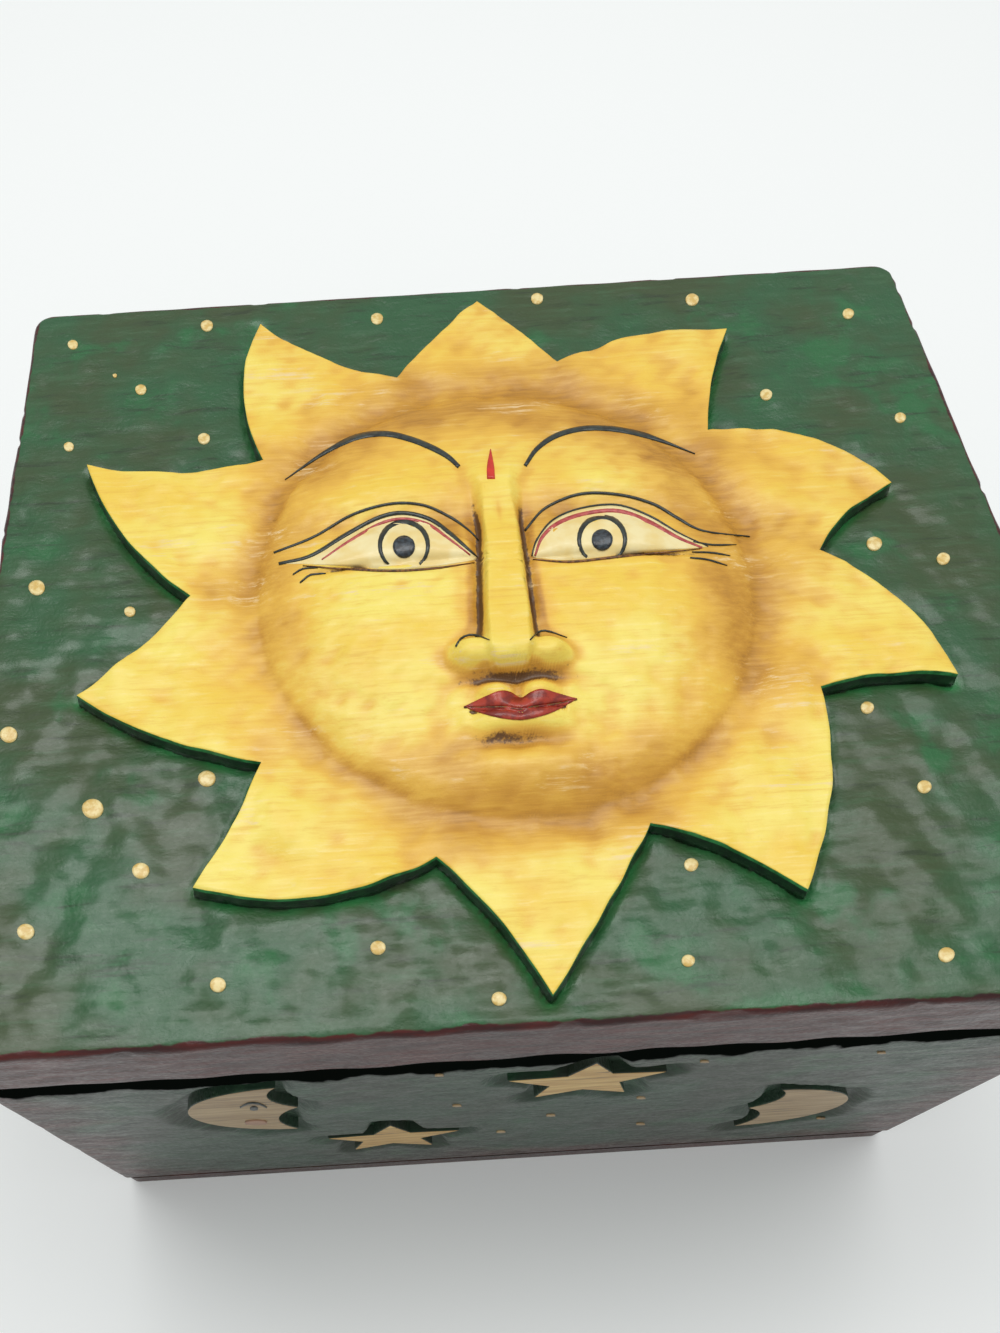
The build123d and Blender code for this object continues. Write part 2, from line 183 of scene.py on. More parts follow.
# Wall carving: centre along the wall, then height. A moon's places are from its own centre.
MOON_LEFT = (-50.5, 76.0)
MOON_RIGHT = (55.0, 46.5)
MOON_HALF_HEIGHT = 19.0
MOON_BELLY = 10.0
MOON_FACE = 7.5
MOON_NOSE = 9.5
MOON_NOSE_AT = 0.1  # of its half height
MOON_CHEEK = (2.5, -0.45)  # in from the face, then of its half height
MOON_BROW = (2.0, 0.5)
STAR_LOW = (-25.5, 39.0)
STAR_HIGH = (9.0, 84.5)
STAR_RADIUS = 14.0
STAR_NOTCH_RADIUS = 6.3
SIDE_MOON = (-26.0, 62.0)
SIDE_STAR = (24.0, 60.0)
SCOOP_WIDTH = 5.0  # 1 mm wider than in the solids, because it fades out
SCOOP_DEPTH = 2.0
MOTIF_PROUD = 0.05
MOTIF_ROOT = 0.8  # below the scoop's floor
MOTIF_ARRIS = 0.25

# The lid's cuts for its hinges, and the wedge that cuts the bevel behind them
HINGE_FIT = 0.15  # wood clear of a leaf
LEAF_RECESS = 1.0
LEAF_CUT_BELOW = 4.0
KNUCKLE_CLEAR = 0.5
BEVEL_DEG = 51.0
WEDGE_WIDTH = 400.0
WEDGE_DEPTH = 20.0
WEDGE_DROP = 10.0
WEDGE_TIP = 0.01

# The photograph's camera: focal length and centre in its 1000 x 1333 pixels, place in millimetres
PHOTO_W, PHOTO_H = 1000, 1333
FOCAL_PX = 1131.1
CENTRE_PX = (388.8, 670.3)
CAMERA_PLACE = Vector((-20.64, -113.31, 287.08))
CAMERA_RIGHT = Vector((0.9981, -0.0534, -0.0308)).normalized()
CAMERA_FORWARD = Vector((0.0014, 0.5192, -0.8546)).normalized()
SENSOR = 36.0


def make_camera():
    """The camera stands where the photograph's did, and its shift gives the photograph's framing."""
    data = bpy.data.cameras.new("camera")
    camera = bpy.data.objects.new("camera", data)
    bpy.context.scene.collection.objects.link(camera)
    up = CAMERA_RIGHT.cross(CAMERA_FORWARD).normalized()
    turn = Matrix((CAMERA_RIGHT, up, -CAMERA_FORWARD)).transposed().to_4x4()
    camera.matrix_world = Matrix.Translation(CAMERA_PLACE * MM) @ turn
    data.sensor_width = SENSOR
    data.lens = SENSOR * FOCAL_PX / PHOTO_H
    data.shift_x = (PHOTO_W / 2 - CENTRE_PX[0]) / PHOTO_H
    data.shift_y = (CENTRE_PX[1] - PHOTO_H / 2) / PHOTO_H
    data.clip_start = 0.01
    data.clip_end = 20
    bpy.context.scene.camera = camera


def sight(u, v):
    """Direction from the camera through a pixel of the photograph."""
    down = CAMERA_FORWARD.cross(CAMERA_RIGHT)
    across = CAMERA_RIGHT * ((u - CENTRE_PX[0]) / FOCAL_PX)
    return (CAMERA_FORWARD + across + down * ((v - CENTRE_PX[1]) / FOCAL_PX)).normalized()


def pixel_of_place(place):
    """The photograph's pixel in which a place, in millimetres, is seen."""
    offset = Vector(place) - CAMERA_PLACE
    down = CAMERA_FORWARD.cross(CAMERA_RIGHT)
    scale = FOCAL_PX / offset.dot(CAMERA_FORWARD)
    return CENTRE_PX[0] + offset.dot(CAMERA_RIGHT) * scale, CENTRE_PX[1] + offset.dot(down) * scale


# Small numeric helpers


def smooth_step(low, high, value):
    """0 below low, 1 above high, smooth between."""
    t = np.clip((value - low) / (high - low), 0, 1)
    return t * t * (3 - 2 * t)


def hump(x, y, centre, reach, power=1.0):
    """A rounded hump of height 1. A power above 1 gives it a flatter top and steeper sides."""
    u = (x - centre[0]) / reach[0]
    v = (y - centre[1]) / reach[1]
    return np.exp(-((u * u + v * v) ** power))


def unevenness(x, y, length, seed):
    """Smooth random waves between about -1 and 1, with the given length in millimetres."""
    random = np.random.default_rng(seed)
    total = np.zeros_like(x)
    for _ in range(7):
        angle = random.uniform(0, math.tau)
        pace = math.tau / (length * random.uniform(0.6, 1.5))
        total += np.sin((x * math.cos(angle) + y * math.sin(angle)) * pace + random.uniform(0, math.tau))
    return total / 3.2


# Outlines


def sun_outline():
    """Points round the sun, clockwise from the top ray's left valley."""
    points = []
    for i, (tip, valley, bulge, sag) in enumerate(RAYS):
        for start, end, rise in ((RAYS[i - 1][1], tip, bulge), (tip, valley, sag)):
            a, b = np.array(start), np.array(end)
            left = np.array((a[1] - b[1], b[0] - a[0])) / np.hypot(*(b - a))
            for k in range(SIDE_STEPS):
                t = k / SIDE_STEPS
                points.append(a + (b - a) * t + left * 4 * rise * t * (1 - t))
    points = np.array(points)
    wobble = unevenness(points[:, 0], points[:, 1], 9.0, 3) * 0.12
    outward = points - SUN_CENTRE
    return points + outward / np.hypot(outward[:, 0], outward[:, 1])[:, None] * wobble[:, None]


def outline_normals(points):
    """Outward unit normals of a closed clockwise outline."""
    along = np.roll(points, -1, 0) - np.roll(points, 1, 0)
    normals = np.stack((-along[:, 1], along[:, 0]), 1)
    return normals / np.hypot(normals[:, 0], normals[:, 1])[:, None]


def star_outline(centre):
    """A five-pointed star, one point up, cut by hand so its points differ a little."""
    random = np.random.default_rng(int(abs(centre[0]) * 10) + 5)
    points = []
    for i in range(10):
        radius = (STAR_RADIUS if i % 2 == 0 else STAR_NOTCH_RADIUS) * random.uniform(0.96, 1.05)
        angle = math.radians(90 - 36 * i)
        points.append((centre[0] + radius * math.cos(angle), centre[1] + radius * math.sin(angle)))
    return divide_outline(np.array(points), 0.8)


def arc(start, middle, end, steps):
    """Points on the circle through three places, without its last point."""
    a, m, b = (complex(*p) for p in (start, middle, end))
    w = (b - a) / (m - a)
    centre = (m - a) * (w - abs(w) ** 2) / (2j * w.imag) + a
    turn = np.angle((b - centre) / (a - centre))
    half = np.angle((m - centre) / (a - centre))
    if half * turn < 0 or abs(half) > abs(turn):
        turn -= math.copysign(math.tau, turn)
    spots = centre + (a - centre) * np.exp(1j * turn * np.linspace(0, 1, steps, endpoint=False))
    return np.stack((spots.real, spots.imag), 1)


def moon_outline(centre, facing):
    """A crescent with a nose on its inner side. facing is 1 for looking to +x, else -1."""
    tip, belly, face, nose = MOON_HALF_HEIGHT, MOON_BELLY, MOON_FACE, MOON_NOSE
    outer = arc((face, tip), (-belly, 0), (face, -tip), 60)
    nose_tip = (nose, MOON_NOSE_AT * tip)
    chin = arc((face, -tip), (face - MOON_CHEEK[0], MOON_CHEEK[1] * tip), nose_tip, 24)
    brow = arc(nose_tip, (face - MOON_BROW[0], MOON_BROW[1] * tip), (face, tip), 24)
    return np.concatenate((outer, chin, brow)) * (facing, 1) + centre


def divide_outline(points, step):
    """A closed outline with a point at least every step millimetres."""
    dense = []
    for a, b in zip(points, np.roll(points, -1, 0)):
        count = max(1, int(np.hypot(*(b - a)) / step))
        dense += [a + (b - a) * k / count for k in range(count)]
    return np.array(dense)


class Outline:
    """A closed outline that can say how far a point lies outside it (plus) or inside it (minus)."""

    def __init__(self, points):
        dense = divide_outline(points, 0.2)
        self.points = points
        self.tree = KDTree(len(dense))
        for i, p in enumerate(dense):
            self.tree.insert((p[0], p[1], 0), i)
        self.tree.balance()

    def distance(self, x, y):
        away = np.zeros(len(x))
        for i in range(len(x)):
            _, _, away[i] = self.tree.find((x[i], y[i], 0))
        return np.where(self.holds(x, y), -away, away)

    def holds(self, x, y):
        inside = np.zeros(len(x), bool)
        for a, b in zip(self.points, np.roll(self.points, -1, 0)):
            crosses = (a[1] > y) != (b[1] > y)
            if crosses.any():
                reach = a[0] + (b[0] - a[0]) * (y - a[1]) / (b[1] - a[1] or 1e-9)
                inside ^= crosses & (x < reach)
        return inside


# The carved surfaces, as heights in millimetres


def forms_at(x, y, forms):
    """The sum of named swellings and hollows."""
    total = np.zeros_like(x)
    for rise, centre, reach, *power in forms.values():
        total += rise * hump(x, y, centre, reach, *power)
    return total


def groove(away, width):
    """A cut's depth, from 1 in its middle to 0 beyond its width."""
    return np.exp(-((away / width) ** 2))


def from_face_centre(x, y):
    """0 at the face's centre and 1 on its rim."""
    return np.hypot(x / FACE_HALF_W, (y - FACE_CENTRE_Y) / FACE_HALF_H)


def eye_relief(x, y, middle, low):
    """An almond that bulges over a straight lower edge cut with a knife."""
    u = (x - middle) / EYE_HALF_WIDTH
    v = (y - low) / EYE_HEIGHT
    lens = np.clip(1 - u * u, 0, 1)
    bulge = np.sqrt(lens) * np.clip(4 * v * (0.95 * lens + 0.05 - v), 0, 1) ** 0.6
    cut = groove(y - low + 0.2, EYE_CUT_WIDTH) * (np.abs(u) < 1) * np.sqrt(lens)
    return EYE_BULGE * bulge - EYE_CUT_DEPTH * cut


def nose_relief(x, y):
    """A narrow bridge that widens to the wings, with a cut down its sides and under its tip."""
    beside = np.abs(x - np.interp(y, *NOSE_MIDDLE))
    half = np.interp(y, *NOSE_HALF_WIDTH)
    slope = np.interp(y, *NOSE_SLOPE)
    bridge = np.interp(y, *NOSE_RISE) * (1 - smooth_step(0, 1, (beside - half + slope / 2) / slope))
    wings = np.max([WING_RISE * hump(x, y, centre, WING_REACH, 2.0) for centre in WINGS], axis=0)
    nose = NOSE_ROUNDING * (np.logaddexp(bridge / NOSE_ROUNDING, wings / NOSE_ROUNDING) - math.log(2))
    cut = groove(beside - half - slope / 2, NOSE_CUT_WIDTH) * hump(x, y, (0, -1), (12, 12.5), 3.0)
    cut += hump(x, y, (-1.0, -22.9), (8.5, 0.9))
    return np.clip(nose, 0, None) - NOSE_CUT_DEPTH * np.clip(cut, 0, 1)


def mouth_cut(x, y):
    """The line between the lips, which dips in the middle and rises to its ends."""
    beside = np.abs(x - MOUTH[0])
    line = MOUTH[1] + 0.10 * beside - 0.5 * hump(x, y, MOUTH, (2.0, 4))
    return MOUTH_CUT_DEPTH * groove(y - line, MOUTH_CUT_WIDTH) * (beside < MOUTH_HALF_WIDTH)


def face_relief(x, y):
    """Height of the sun's top above the lid's ground."""
    edge = from_face_centre(x, y)
    height = RAY_HEIGHT + FACE_RISE * np.clip(1 - edge**FACE_FLATNESS, 0, None) ** 0.8
    height -= RING_DEPTH * groove(edge - RING_AT, RING_WIDTH)
    height += 0.35 * unevenness(x, y, 16.0, 11) * smooth_step(0.7, 1.1, edge)
    height += forms_at(x, y, FACE_FORMS)
    for middle, low in EYES:
        height += eye_relief(x, y, middle, low)
    height += nose_relief(x, y) - mouth_cut(x, y)

    # The knife's and rasp's unevenness
    height += 0.10 * unevenness(x, y, 7.0, 21) + 0.05 * unevenness(x, y, 2.6, 22)
    return height


def lid_relief(x, y):
    """Height of the lid's ground: chiselled lower round the sun, and cut in along its foot."""
    away = sun.distance(x, y)
    height = -0.45 * np.exp(-np.clip(away, 0, None) / 4.0) - 0.75 * groove(away, 0.9)
    height = np.where(away < 0, -GROUND_UNDER_SUN, height)
    height += 0.22 * unevenness(x, y, 14.0, 31) + 0.12 * unevenness(x * 0.6, y, 5.0, 32)
    height += 0.06 * unevenness(x * 0.5, y, 2.4, 33)
    border = np.minimum(LID_HALF_W - np.abs(x), LID_HALF_D - np.abs(y))
    return height * smooth_step(1.0, 4.0, border) - LID_SET_BACK


def wall_relief(outlines, seed):
    """A wall's face, scooped away round its motifs, as a function of place along the wall and height."""

    def relief(x, y):
        height = 0.10 * unevenness(x * 0.5, y, 8.0, seed) + 0.05 * unevenness(x * 0.4, y, 3.0, seed + 1)
        for outline in outlines:
            away = outline.distance(x, y)
            wide = SCOOP_WIDTH * (1 + 0.3 * unevenness(x, y, 18.0, seed + 2))
            height -= SCOOP_DEPTH * (1 - smooth_step(0.3, 1.0, away / wide))
        border = np.minimum(np.abs(np.abs(x) - np.abs(x).max()), np.abs(y - y.min()))
        return height * smooth_step(0.5, 2.5, border) - WALL_SET_BACK

    return relief


# Mesh building


def coordinates(bm):
    """The vertices of a mesh under construction, as an array."""
    return np.array([v.co for v in bm.verts], float)


def place_vertices(bm, where):
    for vert, place in zip(bm.verts, where):
        vert.co = place


def finished(bm, name, body, materials, smooth=True, replaces=()):
    """Turns a bmesh in millimetres into an object in metres that rides on its body."""
    bmesh.ops.scale(bm, vec=(MM, MM, MM), verts=bm.verts)
    mesh = bpy.data.meshes.new(name)
    bm.to_mesh(mesh)
    bm.free()
    for material in materials:
        mesh.materials.append(material)
    if smooth:
        mesh.shade_smooth()
    piece = bpy.data.objects.new(name, mesh)
    bpy.context.scene.collection.objects.link(piece)
    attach(piece, body)
    if replaces:
        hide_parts(*replaces)
    return piece


def rounded_plan(x, y, half_x, half_y, radius):
    """Moves points of a rectangle so that its corners are round."""
    cx, cy = half_x - radius, half_y - radius
    dx, dy = np.clip(np.abs(x) - cx, 0, None), np.clip(np.abs(y) - cy, 0, None)
    length = np.hypot(dx, dy)
    shrink = np.where((dx > 0) & (dy > 0), np.maximum(dx, dy) / np.where(length > 0, length, 1), 1)
    new_x = np.where(dx > 0, np.sign(x) * (cx + dx * shrink), x)
    new_y = np.where(dy > 0, np.sign(y) * (cy + dy * shrink), y)
    return new_x, new_y


def carved_board(half_x, half_y, thickness, corner_r, arris_r, relief, seed):
    """A board lying on its back: carved top at z 0, rounded arrises, uneven edges, flat underside."""
    bm = bmesh.new()
    inner_x, inner_y = half_x - arris_r, half_y - arris_r
    columns, rows = round(2 * inner_x / CARVE_PITCH), round(2 * inner_y / CARVE_PITCH)
    bmesh.ops.create_grid(bm, x_segments=columns, y_segments=rows, size=1)
    co = coordinates(bm)
    plan_r = max(corner_r - arris_r, 0.01)
    x, y = rounded_plan(co[:, 0] * inner_x, co[:, 1] * inner_y, inner_x, inner_y, plan_r)
    place_vertices(bm, np.stack((x, y, relief(x, y)), 1))

    # Each ring of the edge, top to bottom: how far out from the inner rectangle, and its height
    side_height = thickness - 2 * arris_r
    side_rings = max(3, round(side_height / SIDE_RING_PITCH))
    arris = [(arris_r * math.sin(a), arris_r * (math.cos(a) - 1)) for a in np.radians((22, 45, 68, 90))]
    side = [(arris_r, -arris_r - side_height * k / side_rings) for k in range(1, side_rings + 1)]
    foot = [(out, -thickness - drop) for out, drop in reversed([(0.0, 0.0)] + arris[:-1])]

    rim = [e for e in bm.edges if e.is_boundary]
    base = {v: v.co.copy() for e in rim for v in e.verts}
    for out, drop in arris + side + foot:
        geom = bmesh.ops.extrude_edge_only(bm, edges=rim)["geom"]
        new_verts = [g for g in geom if isinstance(g, bmesh.types.BMVert)]
        rim = [g for g in geom if isinstance(g, bmesh.types.BMEdge) and g.is_boundary]
        lookup = {}
        for vert in new_verts:
            old = next(o for e in vert.link_edges for o in e.verts if o is not vert and o in base)
            lookup[vert] = base[old]
        xs = np.array([lookup[v].x for v in new_verts])
        ys = np.array([lookup[v].y for v in new_verts])
        cx = np.clip(xs, -(inner_x - plan_r), inner_x - plan_r)
        cy = np.clip(ys, -(inner_y - plan_r), inner_y - plan_r)
        away = np.hypot(xs - cx, ys - cy)
        nx, ny = (xs - cx) / away, (ys - cy) / away
        wave = unevenness(xs + ys * 0.7, ys * 0.7 + drop * 3, EDGE_WAVE_LENGTH, seed)
        chips = unevenness(xs * 1.1, ys * 1.1 + drop, CHIP_LENGTH, seed + 7)
        wear_and_glare = EDGE_WAVE * (wave - 1.2)
        wear_and_glare -= CHIP_DEPTH * smooth_step(0.7, 1.0, chips) * math.exp(-((drop / CHIP_HEIGHT) ** 2))
        wear_and_glare = np.minimum(wear_and_glare, 0) * min(1.0, out / arris_r)
        for i, vert in enumerate(new_verts):
            top = lookup[vert].z if out < arris_r and drop > -arris_r else 0
            vert.co = (xs[i] + nx[i] * (out + wear_and_glare[i]), ys[i] + ny[i] * (out + wear_and_glare[i]), drop + top)
        base = lookup
    bmesh.ops.contextual_create(bm, geom=rim)
    bmesh.ops.recalc_face_normals(bm, faces=bm.faces)
    return bm


def cut_away(piece, cutters):
    """Cuts the cutters' shapes out of a piece and applies the result to its mesh."""
    tool_mesh = bpy.data.meshes.new("cutter")
    cutters.to_mesh(tool_mesh)
    cutters.free()
    tool = bpy.data.objects.new("cutter", tool_mesh)
    bpy.context.scene.collection.objects.link(tool)
    cut = piece.modifiers.new("cut", "BOOLEAN")
    cut.operation = "DIFFERENCE"
    cut.solver = "EXACT"
    cut.use_self = True
    cut.object = tool
    bpy.context.view_layer.update()
    graph = bpy.context.evaluated_depsgraph_get()
    result = bpy.data.meshes.new_from_object(piece.evaluated_get(graph), depsgraph=graph)
    result.name = piece.name
    piece.modifiers.clear()
    old = piece.data
    piece.data = result
    bpy.data.meshes.remove(old)
    bpy.data.objects.remove(tool)
    bpy.data.meshes.remove(tool_mesh)


def block(bm, low, high):
    """A box between two corners, in metres, added to a bmesh."""
    size = [h - l for l, h in zip(low, high)]
    middle = [(l + h) / 2 for l, h in zip(low, high)]
    bmesh.ops.create_cube(bm, size=1, matrix=Matrix.Translation(middle) @ Matrix.Diagonal((*size, 1)))


# Colour and materials


def srgb(code):
    """A hex colour as linear red, green, blue and alpha."""
    parts = [int(code[i : i + 2], 16) / 255 for i in (0, 2, 4)]
    linear = [p / 12.92 if p <= 0.04045 else ((p + 0.055) / 1.055) ** 2.4 for p in parts]
    return (*linear, 1.0)


def fill(tree, node, inputs):
    """Gives a node's inputs their links or their values."""
    for key, value in inputs.items():
        if isinstance(value, bpy.types.NodeSocket):
            tree.links.new(value, node.inputs[key])
        else:
            node.inputs[key].default_value = value


def add(tree, kind, inputs=None, out=0, **settings):
    """Adds a node with its settings, links and values, and gives the output that is wanted of it."""
    node = tree.nodes.new("ShaderNode" + kind)
    for key, value in settings.items():
        setattr(node, key, value)
    fill(tree, node, inputs or {})
    return node.outputs[out]


# Settings that several nodes share. With COLOURS, a Mix node has its two colours in inputs 6 and 7.
SMOOTH = {"interpolation_type": "SMOOTHSTEP"}
COLOURS = {"data_type": "RGBA", "out": 2}


def grains(size_mm, detail=4.0, roughness=0.55):
    """Noise inputs for a pattern whose grains have a real size in millimetres."""
    return {"Scale": 1000 / size_mm, "Detail": detail, "Roughness": roughness}


def start_material(name):
    """A material with its node tree, its shader and Object coordinates."""
    material = bpy.data.materials.new(name)
    material.use_nodes = True
    tree = material.node_tree
    return material, tree, tree.nodes["Principled BSDF"], add(tree, "TexCoord", out="Object")


def paint_over(tree, below, code, pattern, none_at, most_at, most=1.0):
    """Paints a colour over another one: not at all where a pattern is at none_at, and most at most_at."""
    cover = add(tree, "MapRange", {"Value": pattern, 1: none_at, 2: most_at, 4: most}, **SMOOTH)
    return add(tree, "Mix", {"Factor": cover, 6: below, 7: srgb(code)}, **COLOURS)


def varnished_gold_paint():
    """Yellow ochre enamel brushed on carved wood, with a brown wash and varnish: warm and streaky, with
    painted shade in its hollows and painted glare along its strokes.
    """
    material, tree, shader, place = start_material("varnished_gold_paint")
    wash = add(tree, "Attribute", out="Fac", attribute_name="wash")
    deep = add(tree, "Attribute", out="Fac", attribute_name="deep")
    brushed = add(tree, "Mapping", {"Vector": place, "Scale": (0.05, 1, 1)})
    glare_stretch = add(tree, "Mapping", {"Vector": place, "Scale": (0.4, 1, 1)})
    cloud = add(tree, "TexNoise", {"Vector": place, **grains(18, 3)})
    streaks = add(tree, "TexNoise", {"Vector": brushed, **grains(1.0, 5, 0.75)})
    specks = add(tree, "TexNoise", {"Vector": place, **grains(0.6, 4, 0.7)})
    wear_and_glare = add(tree, "TexNoise", {"Vector": glare_stretch, **grains(9, 5, 0.7)})
    pores = add(tree, "TexNoise", {"Vector": place, **grains(0.45, 2)})

    # Two golds in clouds, then pale and ochre brush streaks
    colour = paint_over(tree, srgb("F4D04C"), "F8E56C", cloud, 0.38, 0.64)
    colour = paint_over(tree, colour, "FCEA98", streaks, 0.52, 0.74, 0.6)
    colour = paint_over(tree, colour, "E3AE3F", streaks, 0.5, 0.3, 0.45)

    # The brown wash and painted shade in three depths, and the darkest brown in the deepest cuts, partly
    # dirt and partly painted shade
    streaky = add(tree, "MapRange", {"Value": streaks, 1: 0.3, 2: 0.7, 3: 1.2, 4: 0.8}, **SMOOTH)
    brown = add(tree, "Math", {0: wash, 1: streaky}, operation="MULTIPLY")
    colour = paint_over(tree, colour, "EDB946", brown, 0.0, 0.4, 0.85)
    colour = paint_over(tree, colour, "C48A28", brown, 0.2, 0.9, 0.85)
    colour = paint_over(tree, colour, "94611D", brown, 0.75, 1.35, 0.7)
    crease_darkening = add(tree, "Math", {0: deep, 1: specks}, operation="ADD")
    colour = paint_over(tree, colour, "4B2C12", crease_darkening, 0.78, 1.15, 0.9)

    # Painted glare: pale streaks along the brush strokes, in patches
    thin = add(tree, "MapRange", {"Value": wear_and_glare, 1: 0.54, 2: 0.68}, **SMOOTH)
    strokes = add(tree, "MapRange", {"Value": streaks, 1: 0.5, 2: 0.62, 4: 0.8}, **SMOOTH)
    painted_glare = add(tree, "Math", {0: thin, 1: strokes}, operation="MULTIPLY")
    colour = add(tree, "Mix", {"Factor": painted_glare, 6: colour, 7: srgb("EFD3A0")}, **COLOURS)

    normal = add(tree, "Bump", {"Height": streaks, "Distance": 0.05 * MM})
    normal = add(tree, "Bump", {"Height": pores, "Distance": 0.03 * MM, "Normal": normal})
    rough = add(tree, "MapRange", {"Value": streaks, 1: 0.3, 2: 0.7, 3: 0.55, 4: 0.4}, **SMOOTH)
    fill(tree, shader, {"Base Color": colour, "Normal": normal, "Roughness": rough})
    fill(tree, shader, {"Coat Weight": 0.15, "Coat Roughness": 0.3})
    return material


def inside_box(tree, x, y, z):
    """1 on the box's inner faces, from the place's distances from the middle and its height, else 0."""
    limits = [
        (x, "LESS_THAN", BODY_HALF_W - WALL_THICKNESS + 0.15),
        (y, "LESS_THAN", BODY_HALF_D - WALL_THICKNESS + 0.15),
        (z, "GREATER_THAN", WALL_BOTTOM - 0.2),
        (z, "LESS_THAN", LID_BOTTOM + 0.2),
    ]
    inside = 1.0
    for distance, test, limit in limits:
        passed = add(tree, "Math", {0: distance, 1: limit * MM}, operation=test)
        inside = add(tree, "Math", {0: inside, 1: passed}, operation="MULTIPLY")
    return inside


def bare_softwood(tree, place):
    """Planed softwood without a finish: tan, with darker growth rings and fine brown pores along it."""
    sawn = add(tree, "Mapping", {"Vector": place, "Scale": (0.05, 1, 0.3)})
    grain = add(tree, "Mapping", {"Vector": place, "Scale": (0.05, 1, 1)})
    rings = add(tree, "TexNoise", {"Vector": sawn, **grains(3.0, 4, 0.6)})
    pores = add(tree, "TexNoise", {"Vector": grain, **grains(0.5)})
    bare = paint_over(tree, srgb("8A5F3A"), "B88A5C", rings, 0.35, 0.65)
    return paint_over(tree, bare, "5E3D22", pores, 0.5, 0.7, 0.5)


def red_of_lid(tree, place, x, y):
    """1 where the lid's edge is red: from a wavering line just inside the arris outwards."""
    wander = add(tree, "TexNoise", {"Vector": place, **grains(5, 3)})
    wander = add(tree, "Math", {0: wander, 1: 1.8 * MM}, operation="MULTIPLY")
    wander = add(tree, "Math", {0: wander, 1: 0.9 * MM}, operation="SUBTRACT")
    out_x = add(tree, "Math", {0: x, 1: LID_HALF_W * MM}, operation="SUBTRACT")
    out_y = add(tree, "Math", {0: y, 1: LID_HALF_D * MM}, operation="SUBTRACT")
    edge = add(tree, "Math", {0: out_x, 1: out_y}, operation="MAXIMUM")
    edge = add(tree, "Math", {0: edge, 1: wander}, operation="ADD")
    return add(tree, "MapRange", {"Value": edge, 1: -1.2 * MM, 2: -0.9 * MM}, **SMOOTH)


def red_of_walls(tree, place, x, y, z):
    """How red a wall is: most at its ends and along its foot, with a brushed boundary."""
    brushed = add(tree, "Mapping", {"Vector": place, "Scale": (0.3, 1, 1)})
    wander = add(tree, "TexNoise", {"Vector": brushed, **grains(9)})
    wander = add(tree, "Math", {0: wander, 1: 1.1}, operation="MULTIPLY")
    to_x = add(tree, "Math", {0: BODY_HALF_W * MM, 1: x}, operation="SUBTRACT")
    to_y = add(tree, "Math", {0: BODY_HALF_D * MM, 1: y}, operation="SUBTRACT")
    from_end = add(tree, "Math", {0: to_x, 1: to_y}, operation="MAXIMUM")
    from_end = add(tree, "Math", {0: from_end, 1: 30 * MM}, operation="DIVIDE")
    from_foot = add(tree, "Math", {0: z, 1: 34 * MM}, operation="DIVIDE")
    near = add(tree, "Math", {0: from_end, 1: from_foot}, operation="MINIMUM")
    near = add(tree, "Math", {0: near, 1: wander}, operation="ADD")
    return add(tree, "MapRange", {"Value": near, 1: 1.15, 2: 0.62, 4: 0.85}, **SMOOTH)


def black_band_and_gap_shadow(tree, place, signed_y, z):
    """1 in the dark band under the lid, partly near-black paint and partly painted shadow of the gap, with a
    ragged lower edge. It reaches lower on the front wall.
    """
    running = add(tree, "Mapping", {"Vector": place, "Scale": (1, 1, 0.3)})
    ragged_reach = add(tree, "TexNoise", {"Vector": running, **grains(9, 3)})
    ragged_reach = add(tree, "Math", {0: ragged_reach, 1: 12 * MM}, operation="MULTIPLY")
    in_front = add(tree, "Math", {0: signed_y, 1: (1.5 - BODY_HALF_D) * MM}, operation="LESS_THAN")
    deeper = add(tree, "Math", {0: in_front, 1: 5 * MM}, operation="MULTIPLY")
    lower = add(tree, "Math", {0: ragged_reach, 1: deeper}, operation="ADD")
    height = add(tree, "Math", {0: z, 1: lower}, operation="ADD")
    band = {"Value": height, 1: (WALL_TOP + 1.5) * MM, 2: (WALL_TOP + 3.3) * MM}
    return add(tree, "MapRange", band, **SMOOTH)


